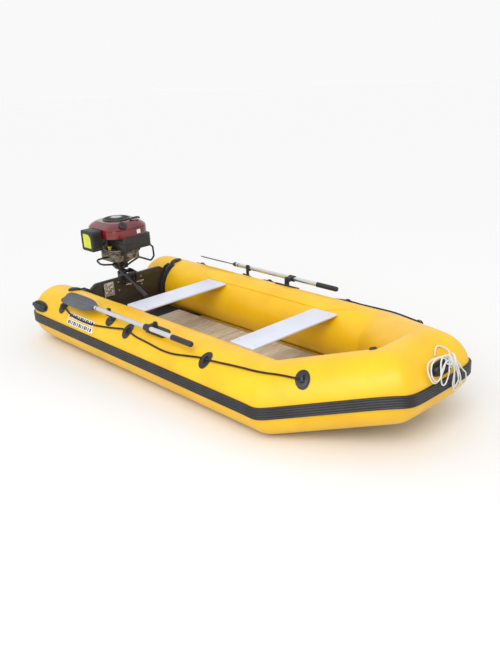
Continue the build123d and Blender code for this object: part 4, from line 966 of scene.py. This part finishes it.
# --- Motor bracket, leg and propeller -----------------------------------------------------
# Black painted castings clamp over the transom; the propeller is bare aluminium.
black_paint = scuffed_finish(
    "black_paint", (0.020, 0.020, 0.022), (0.010, 0.010, 0.011), 18.0, 900.0, 0.0003, (0.25, 0.5)
)
for node, body in (
    ("clamp_bracket", "hull"),
    ("swivel_bracket", "swivel"),
    ("drive_leg", "powerhead"),
    ("tiller_arm", "tiller"),
):
    casting = softened(node, body, black_paint, 0.0015)
paint(black_paint, "guard_frame")
paint(steel, "clamp_screw_starboard", "clamp_screw_port")
cast_metal = scuffed_finish(
    "cast_aluminium", (0.42, 0.40, 0.36), (0.20, 0.19, 0.17), 30.0, 500.0, 0.0008, (0.4, 0.65)
)
cast_metal.node_tree.nodes["Principled BSDF"].inputs["Metallic"].default_value = 0.7
propeller = softened("propeller", "propeller", cast_metal, 0.001)
paint(moulded_rubber, "tiller_grip")

# --- Crankcase --------------------------------------------------------------------------
# A cast block with cooling fins on a bell that narrows to the leg, its dark patches painted shade
# for the shadows among the fins and fittings.  A flange of bolts runs round the joint between the two.
POWER_X = -1.470
FLANGE_Z = 0.590
FLANGE_R = 0.125
FLANGE_BOLTS = 12
# Dark noise patches over the cast metal: painted shade for the shadows among the fins and fittings.
metal_painted_shade = scuffed_finish(
    "aluminium_painted_shade", (0.36, 0.33, 0.26), (0.035, 0.033, 0.030), 26.0, 420.0, 0.0014, (0.3, 0.6)
)
metal_painted_shade.node_tree.nodes["Principled BSDF"].inputs["Metallic"].default_value = 0.6
casing = softened("crankcase", "powerhead", metal_painted_shade, 0.0015)


def add_disc(shape, middle, radius, depth, segments=32, aim=(0, 0, 1)):
    """A short closed cylinder, standing along a direction."""
    turn = Vector(aim).to_track_quat("Z", "Y").to_matrix().to_4x4()
    bmesh.ops.create_cone(
        shape, cap_ends=True, segments=segments, radius1=radius, radius2=radius * 0.94,
        depth=depth, matrix=Matrix.Translation(middle) @ turn,
    )


def add_block(shape, place, size):
    """A box of a given size, centred on a matrix."""
    bmesh.ops.create_cube(shape, size=1, matrix=place @ Matrix.Diagonal((*size, 1)))


def smooth_under(shape, angle):
    """Edges that turn less than an angle are smooth, and the others are sharp."""
    for edge in shape.edges:
        if len(edge.link_faces) == 2:
            edge.smooth = edge.calc_face_angle() < radians(angle)


flange_shape = bmesh.new()
add_disc(flange_shape, (POWER_X, 0, FLANGE_Z), FLANGE_R, 0.009, segments=64)
for bolt in range(FLANGE_BOLTS):
    turn = 2 * pi * (bolt + 0.5) / FLANGE_BOLTS
    reach = FLANGE_R - 0.009
    foot = (POWER_X + reach * cos(turn), reach * sin(turn), FLANGE_Z - 0.007)
    add_disc(flange_shape, foot, 0.0065, 0.008, segments=6)
flange = as_piece("crankcase_flange", flange_shape, cast_metal, smooth=False)
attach(flange, "powerhead")

# --- Fuel tank --------------------------------------------------------------------------
# A black moulding under the cowl, with the welded seam that joins its two halves.
TANK_MIDDLE = (-1.408, 0.060)
TANK_SIZE = (0.292, 0.288)
TANK_SEAM_Z = 0.748


def rounded_ring(shape, middle, size, corner, z, steps=8):
    """A level ring of edges round a rectangle with rounded corners."""
    vertices = []
    for quarter, (over, along) in enumerate(((1, 1), (-1, 1), (-1, -1), (1, -1))):
        x = middle[0] + over * (size[0] / 2 - corner)
        y = middle[1] + along * (size[1] / 2 - corner)
        for step in range(steps + 1):
            turn = pi / 2 * (quarter + step / steps)
            vertices.append(shape.verts.new((x + corner * cos(turn), y + corner * sin(turn), z)))
    return [shape.edges.new(pair) for pair in zip(vertices, vertices[1:] + vertices[:1])]


def stacked(shape, middle, layers):
    """A closed body through level rounded rectangles: width, length, corner and height."""
    rings = [rounded_ring(shape, middle, (w, l), corner, z) for w, l, corner, z in layers]
    bridge_rings(shape, rings)
    bmesh.ops.contextual_create(shape, geom=rings[0])
    bmesh.ops.contextual_create(shape, geom=rings[-1])
    bmesh.ops.recalc_face_normals(shape, faces=shape.faces)


tank = softened("fuel_tank", "powerhead", black_plastic, 0.006)
seam_shape = bmesh.new()
seam_w, seam_l = TANK_SIZE[0] + 0.005, TANK_SIZE[1] + 0.005
stacked(seam_shape, TANK_MIDDLE, [
    (seam_w - 0.004, seam_l - 0.004, 0.036, TANK_SEAM_Z - 0.003),
    (seam_w, seam_l, 0.038, TANK_SEAM_Z - 0.0015),
    (seam_w, seam_l, 0.038, TANK_SEAM_Z + 0.0015),
    (seam_w - 0.004, seam_l - 0.004, 0.036, TANK_SEAM_Z + 0.003),
])
tank_seam = as_piece("fuel_tank_seam", seam_shape, black_plastic)
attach(tank_seam, "powerhead")

# --- Engine cowl ------------------------------------------------------------------------
# A glossy dark red shroud: an upright band, a groove, and facets that climb to the cover.
COWL_LAYERS = [
    (0.422, 0.402, 0.111, 0.808), (0.429, 0.409, 0.1145, 0.810), (0.430, 0.410, 0.115, 0.814),
    (0.430, 0.410, 0.115, 0.870), (0.428, 0.408, 0.114, 0.873), (0.421, 0.401, 0.110, 0.8745),
    (0.419, 0.399, 0.109, 0.8765), (0.426, 0.406, 0.113, 0.878), (0.426, 0.406, 0.113, 0.885),
    (0.414, 0.394, 0.107, 0.891), (0.374, 0.354, 0.089, 0.909), (0.366, 0.346, 0.086, 0.911),
    (0.330, 0.312, 0.088, 0.925), (0.306, 0.298, 0.102, 0.931), (0.268, 0.264, 0.115, 0.933),
]
COWL_RED = (0.185, 0.003, 0.008)
COWL_RED_DEEP = (0.085, 0.0015, 0.004)
gloss_red = scuffed_finish(
    "gloss_red", COWL_RED, COWL_RED_DEEP, 5.0, 160.0, 0.0002, (0.16, 0.32)
)
gloss_red.node_tree.nodes["Principled BSDF"].inputs["Coat Weight"].default_value = 0.7
gloss_red.node_tree.nodes["Principled BSDF"].inputs["Coat Roughness"].default_value = 0.06
cowl_shape = bmesh.new()
stacked(cowl_shape, (POWER_X, 0), COWL_LAYERS)
smooth_under(cowl_shape, 24)
cowl = as_piece("engine_cowl", cowl_shape, gloss_red)
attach(cowl, "powerhead")
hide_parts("cowl")

# --- Recoil cover and its handle ----------------------------------------------------------
# A black cover on the cowl with radial air slots round a blank pale badge.  The starter
# handle lies on the cowl as a low arch.
RECOIL_PROFILE = [
    (0.118, 0.930), (0.118, 0.938), (0.1165, 0.942), (0.110, 0.945), (0.103, 0.946),
    (0.101, 0.9405), (0.060, 0.9435), (0.058, 0.950), (0.055, 0.952), (0.0, 0.952),
]
RECOIL_RIBS = 30
RIB_AT = (0.081, 0, 0.9435)
RIB_SIZE = (0.042, 0.0065, 0.008)
RIB_LEAN = radians(5)
BADGE_R = 0.048
BADGE_Z = 0.9523
BADGE_THICK = 0.0014
recoil_shape = bmesh.new()
outline = [recoil_shape.verts.new((POWER_X + reach, 0, z)) for reach, z in RECOIL_PROFILE]
chain = [recoil_shape.edges.new(pair) for pair in zip(outline, outline[1:])]
bmesh.ops.spin(
    recoil_shape, geom=outline + chain, cent=(POWER_X, 0, 0), axis=(0, 0, 1),
    angle=2 * pi, steps=64, use_merge=True,
)
bmesh.ops.remove_doubles(recoil_shape, verts=recoil_shape.verts, dist=0.00005)
bmesh.ops.holes_fill(recoil_shape, edges=recoil_shape.edges, sides=70)
for rib in range(RECOIL_RIBS):
    lean = Matrix.Rotation(2 * pi * rib / RECOIL_RIBS, 4, "Z")
    place = Matrix.Translation((POWER_X, 0, 0)) @ lean @ Matrix.Translation(RIB_AT)
    add_block(recoil_shape, place @ Matrix.Rotation(RIB_LEAN, 4, "Y"), RIB_SIZE)
bmesh.ops.recalc_face_normals(recoil_shape, faces=recoil_shape.faces)
smooth_under(recoil_shape, 30)
recoil = as_piece("recoil_cover_finished", recoil_shape, black_plastic)
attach(recoil, "powerhead")
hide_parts("recoil_cover")
badge_shape = bmesh.new()
add_disc(badge_shape, (POWER_X, 0, BADGE_Z), BADGE_R, BADGE_THICK, segments=48)
badge_silver = scuffed_finish(
    "badge_silver", (0.45, 0.46, 0.48), (0.28, 0.29, 0.30), 30.0, 900.0, 0.0001, (0.25, 0.4)
)
badge = as_piece("recoil_badge", badge_shape, badge_silver, smooth=False)
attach(badge, "powerhead")

PULL_MIDDLE = Vector((-1.327, 0.092, 0.9325))
PULL_HALF = 0.0445
PULL_RISE = 0.0140
pull_shape = bmesh.new()
arch = []
for step in range(15):
    turn = pi * step / 14
    across = -PULL_HALF * (1.0 if cos(turn) > 0 else -1.0) * abs(cos(turn)) ** 0.6
    at = PULL_MIDDLE + Vector((0, across, PULL_RISE * sin(turn) ** 0.5))
    wide = 0.0155 - 0.004 * sin(turn)
    place = Matrix.Translation(at) @ Matrix.Rotation(-turn, 4, "X")
    place = place @ Matrix.Diagonal((wide, 0.0095, 1, 1)) @ Matrix.Rotation(pi / 12, 4, "Z")
    ring = bmesh.ops.create_circle(pull_shape, segments=12, radius=1, matrix=place)["verts"]
    arch.append(ring_edges(pull_shape, ring))
bridge_rings(pull_shape, arch)
bmesh.ops.contextual_create(pull_shape, geom=arch[0])
bmesh.ops.contextual_create(pull_shape, geom=arch[-1])
bmesh.ops.recalc_face_normals(pull_shape, faces=pull_shape.faces)
pull = as_piece("starter_handle", pull_shape, black_plastic, levels=1)
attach(pull, "recoil_handle")
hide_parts("recoil_handle")

# --- Caps and the stop button ---------------------------------------------------------------
# A ribbed black filler cap on the cowl's front slope, a yellow oil cap with a finger grip
# and a red stop button.
CAP_RIBS = 24
CAP_RIB_AT = (0.0355, 0, 0.0065)
CAP_RIB_SIZE = (0.003, 0.004, 0.010)
CAP_BAR_RISE = 0.0175
CAP_BAR_SIZE = (0.012, 0.052, 0.005)
cap_body = softened("fuel_cap", "fuel_cap", black_plastic, 0.002)
cap_slope = Vector((0.045, 0, 0.045)).normalized()
cap_foot = Vector((POWER_X + 0.1925, -0.070, 0.9075))
cap_shape = bmesh.new()
cap_turn = cap_slope.to_track_quat("Z", "Y").to_matrix().to_4x4()
for rib in range(CAP_RIBS):
    lean = Matrix.Rotation(2 * pi * rib / CAP_RIBS, 4, "Z")
    place = Matrix.Translation(cap_foot) @ cap_turn @ lean @ Matrix.Translation(CAP_RIB_AT)
    add_block(cap_shape, place, CAP_RIB_SIZE)
bar = Matrix.Translation(cap_foot) @ cap_turn @ Matrix.Translation((0, 0, CAP_BAR_RISE))
add_block(cap_shape, bar, CAP_BAR_SIZE)
cap_ribs = as_piece("fuel_cap_ribs", cap_shape, black_plastic, smooth=False)
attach(cap_ribs, "fuel_cap")
oil_finish = scuffed_finish(
    "oil_cap_yellow", (0.80, 0.62, 0.02), (0.60, 0.44, 0.01), 60.0, 1500.0, 0.0002, (0.3, 0.45)
)
oil_plug = softened("oil_cap", "oil_cap", oil_finish, 0.001)
stop_finish = scuffed_finish(
    "stop_button_red", (0.62, 0.010, 0.014), (0.45, 0.006, 0.010), 60.0, 1500.0, 0.0001, (0.2, 0.35)
)
paint(stop_finish, "stop_button")

# --- Muffler ------------------------------------------------------------------------------
# A black box on the starboard side: a raised frame and a blank yellow-green plate on its
# outer face, and louvres across the end that faces forward.
MUFFLER_FACE_Y = -0.305
MUFFLER_MIDDLE = (-1.480, 0.7985)
LOUVRES = 7
LOUVRE_AT = (-1.3905, -0.2585)
LOUVRE_LOWEST = 0.051
LOUVRE_GAP = 0.017
LOUVRE_LEAN = radians(30)
LOUVRE_SIZE = (0.007, 0.062, 0.009)
FRAME_THICK = 0.005
heat_black = scuffed_finish(
    "heat_black", (0.022, 0.021, 0.020), (0.011, 0.010, 0.010), 14.0, 700.0, 0.0004, (0.35, 0.6)
)
silencer = softened("muffler", "powerhead", heat_black, 0.004)
guard_shape = bmesh.new()
for x, z, wide, high in (
    (0, 0.074, 0.156, 0.010), (0, -0.074, 0.156, 0.010),
    (0.078, 0, 0.010, 0.138), (-0.078, 0, 0.010, 0.138),
):
    place = Matrix.Translation((MUFFLER_MIDDLE[0] + x, MUFFLER_FACE_Y, MUFFLER_MIDDLE[1] + z))
    add_block(guard_shape, place, (wide, FRAME_THICK, high))
for louvre in range(LOUVRES):
    z = MUFFLER_MIDDLE[1] - LOUVRE_LOWEST + LOUVRE_GAP * louvre
    place = Matrix.Translation((*LOUVRE_AT, z)) @ Matrix.Rotation(LOUVRE_LEAN, 4, "Y")
    add_block(guard_shape, place, LOUVRE_SIZE)
muffler_guard = as_piece("muffler_guard", guard_shape, heat_black, smooth=False)
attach(muffler_guard, "powerhead")

# --- Blank labels -------------------------------------------------------------------------
# Plain plates where printed labels would be.  They carry no marks at all.
PLATE_CORNERS = [(-0.056, -0.058), (0.056, -0.058), (0.056, 0.030), (0.028, 0.058), (-0.056, 0.058)]
plate_green = scuffed_finish(
    "plate_yellow_green", (0.66, 0.74, 0.03), (0.56, 0.64, 0.02), 20.0, 600.0, 0.0001, (0.3, 0.5)
)
plate_shape = bmesh.new()
plate_loops = []
for lift in (0.0002, 0.0014):
    corners = [
        plate_shape.verts.new((MUFFLER_MIDDLE[0] + x, MUFFLER_FACE_Y - lift, MUFFLER_MIDDLE[1] + z))
        for x, z in PLATE_CORNERS
    ]
    plate_loops.append(
        [plate_shape.edges.new(pair) for pair in zip(corners, corners[1:] + corners[:1])]
    )
bridge_rings(plate_shape, plate_loops)
for loop in plate_loops:
    bmesh.ops.contextual_create(plate_shape, geom=loop)
bmesh.ops.recalc_face_normals(plate_shape, faces=plate_shape.faces)
plate = as_piece("muffler_plate", plate_shape, plate_green, smooth=False)
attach(plate, "powerhead")
sticker_white = scuffed_finish(
    "sticker_white", (0.82, 0.82, 0.80), (0.70, 0.70, 0.68), 30.0, 900.0, 0.0001, (0.3, 0.5)
)
STICKER_AT = (POWER_X + 0.2152, 0.070, 0.842)
STICKER_SIZE = (0.001, 0.036, 0.034)
sticker_shape = bmesh.new()
add_block(sticker_shape, Matrix.Translation(STICKER_AT), STICKER_SIZE)
sticker = as_piece("cowl_sticker", sticker_shape, sticker_white, smooth=False)
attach(sticker, "powerhead")

# --- Side pattern -------------------------------------------------------------------------
# Two plain rows of slanted bars on a white ground, printed on the starboard chamber.
PATTERN_X = (-1.124, -0.760)
PATTERN_ROWS = [33.5, 20.5]
PATTERN_HIGH = 0.040
BARS = 13
print_black = scuffed_finish(
    "print_black", (0.016, 0.016, 0.018), (0.010, 0.010, 0.011), 20.0, 900.0, 0.0001, (0.4, 0.55)
)
ground_shape = bmesh.new()
bars_shape = bmesh.new()


def printed_patch(shape, corners, lift, matrix, rows=6):
    """A thin four-cornered patch laid round the chamber."""
    left_low, right_low, right_high, left_high = [Vector((*at, lift)) for at in corners]
    made = []
    for row in range(rows + 1):
        share = row / rows
        made.append(shape.verts.new(left_low.lerp(left_high, share)))
        made.append(shape.verts.new(right_low.lerp(right_high, share)))
    for row in range(0, 2 * rows, 2):
        shape.faces.new((made[row], made[row + 1], made[row + 3], made[row + 2]))
    curve_down(shape, made)
    bmesh.ops.transform(shape, matrix=matrix, verts=made)


for angle in PATTERN_ROWS:
    matrix = skin_frame(-1, sum(PATTERN_X) / 2, angle)
    half = (PATTERN_X[1] - PATTERN_X[0]) / 2
    high = PATTERN_HIGH / 2
    ground = [(-half, -high), (half, -high), (half, high), (-half, high)]
    printed_patch(ground_shape, ground, 0.0010, matrix)
    for bar in range(BARS):
        start = -half + 0.010 + (2 * half - 0.026) * bar / BARS
        wide = 0.012 if bar % 3 else 0.019
        low, top, slant = -high + 0.006, high - 0.006, 0.008
        corners = [(start, low), (start + wide, low), (start + wide + slant, top), (start + slant, top)]
        printed_patch(bars_shape, corners, 0.0015, matrix)
for name, shape, finish in (
    ("pattern_ground", ground_shape, sticker_white),
    ("pattern_bars", bars_shape, print_black),
):
    bmesh.ops.recalc_face_normals(shape, faces=shape.faces)
    for face in shape.faces:
        if face.normal.dot(Vector((0, -1, 0))) < 0:
            face.normal_flip()
    printed = as_piece(name, shape, finish)
    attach(printed, "hull")

# --- Transom holder pads ----------------------------------------------------------------------
# Each transom holder ends on top of its chamber in a rounded oval pad of the same rubber.
PAD_RINGS = [(1.0, -0.0005), (0.99, 0.006), (0.93, 0.012), (0.78, 0.0165), (0.45, 0.019), (0.12, 0.020)]
PAD_HALF = (0.036, 0.062)
PAD_AT = (-1.385, 99)
pads_shape = bmesh.new()
for side in (-1, 1):
    rings, made = stacked_ovals(pads_shape, PAD_RINGS, PAD_HALF)
    bmesh.ops.contextual_create(pads_shape, geom=rings[0])
    bmesh.ops.contextual_create(pads_shape, geom=rings[-1])
    curve_down(pads_shape, made)
    bmesh.ops.transform(pads_shape, matrix=skin_frame(side, *PAD_AT), verts=made)
bmesh.ops.recalc_face_normals(pads_shape, faces=pads_shape.faces)
holder_pads = as_piece("holder_pads", pads_shape, moulded_rubber, levels=1)
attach(holder_pads, "hull")

# --- Pouch of small parts ---------------------------------------------------------------------
# A crumpled clear bag of fittings hanging on the transom, flat at its welded edges and
# lumpy in its middle.  Its colour is painted shade in the creases and painted highlight
# on the ridges.
POUCH_MIDDLE = Vector((-1.3595, -0.220, 0.373))
POUCH_HALF = (0.0092, 0.052, 0.063)
POUCH_STEPS = (30, 36)
film, film_shader = new_finish("crumpled_film")
place = put(film, "TexCoord").outputs["Object"]
lumps = put(film, "TexVoronoi", Vector=place, Scale=75.0)
folds = put(film, "TexNoise", Vector=place, Scale=110.0, Detail=6.0, Distortion=1.5)
# The fold noise that raises the bump also sets the colour: dark in the creases and near-white on the
# ridges, painted shade and painted highlight.
ramp = put(film, "ValToRGB", _0=folds.outputs[0])
ramp.color_ramp.elements[0].position = 0.36
ramp.color_ramp.elements[0].color = (0.045, 0.035, 0.028, 1)
ramp.color_ramp.elements[1].position = 0.62
ramp.color_ramp.elements[1].color = (0.80, 0.80, 0.78, 1)
middle_tone = ramp.color_ramp.elements.new(0.48)
middle_tone.color = (0.30, 0.25, 0.20, 1)
film.node_tree.links.new(ramp.outputs[0], film_shader.inputs["Base Color"])
gloss = put(film, "MapRange", _0=lumps.outputs[0], _3=0.12, _4=0.35)
film.node_tree.links.new(gloss.outputs[0], film_shader.inputs["Roughness"])
bump = put(film, "Bump", Strength=0.8, Distance=0.002, Height=folds.outputs[0])
film.node_tree.links.new(bump.outputs[0], film_shader.inputs["Normal"])
film_shader.inputs["Metallic"].default_value = 0.35
pouch_shape = bmesh.new()
for outer in (1, -1):
    grid = []
    for row in range(POUCH_STEPS[1] + 1):
        up = 2 * row / POUCH_STEPS[1] - 1
        line_of_verts = []
        for column in range(POUCH_STEPS[0] + 1):
            over = 2 * column / POUCH_STEPS[0] - 1
            room = (1 - over ** 4) * (1 - up ** 4)
            lump = noise.noise(Vector((over * 2.6, up * 3.1, outer * 2.0)))
            crease = abs(noise.noise(Vector((over * 6.0, up * 7.0, 4.0 + outer))))
            deep = outer * POUCH_HALF[0] * room * max(0.12, min(1.0, 0.62 + 0.6 * lump - 0.5 * crease))
            spot = POUCH_MIDDLE + Vector((deep, over * POUCH_HALF[1], up * POUCH_HALF[2]))
            line_of_verts.append(pouch_shape.verts.new(spot))
        grid.append(line_of_verts)
    for low, high_row in zip(grid, grid[1:]):
        for one, two, three, four in zip(low, low[1:], high_row[1:], high_row):
            pouch_shape.faces.new((one, two, three, four))
bmesh.ops.remove_doubles(pouch_shape, verts=pouch_shape.verts, dist=0.00005)
bmesh.ops.recalc_face_normals(pouch_shape, faces=pouch_shape.faces)
pouch = as_piece("small_parts_bag", pouch_shape, film, levels=1)
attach(pouch, "hull")
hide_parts("parts_pouch")

# --- Floor and light ------------------------------------------------------------------
floor_mesh = bmesh.new()
bmesh.ops.create_circle(floor_mesh, segments=64, radius=40, cap_ends=True)
floor_finish, floor_shader = new_finish("studio_floor")
floor_shader.inputs["Base Color"].default_value = (0.80, 0.80, 0.80, 1)
floor_shader.inputs["Roughness"].default_value = 0.9
studio_floor = as_piece("studio_floor", floor_mesh, floor_finish, smooth=False)
world = bpy.data.worlds.new("studio")
world.use_nodes = True
world.node_tree.nodes["Background"].inputs["Color"].default_value = (1.0, 1.0, 1.0, 1)
world.node_tree.nodes["Background"].inputs["Strength"].default_value = 0.95
bpy.context.scene.world = world
sun = bpy.data.objects.new("sun", bpy.data.lights.new("sun", "SUN"))
sun.data.energy = 0.85
sun.data.angle = radians(35)
sun.rotation_euler = (radians(28), radians(22), 0)
lamp = bpy.data.objects.new("fill", bpy.data.lights.new("fill", "AREA"))
lamp.data.energy = 45
lamp.data.size = 2.4
lamp.location = (2.2, -3.4, 2.4)
lamp.rotation_euler = (Vector((0, 0, 0.3)) - lamp.location).to_track_quat("-Z", "Y").to_euler()
for light in (sun, lamp):
    bpy.context.scene.collection.objects.link(light)
bpy.context.scene.view_settings.view_transform = "Standard"
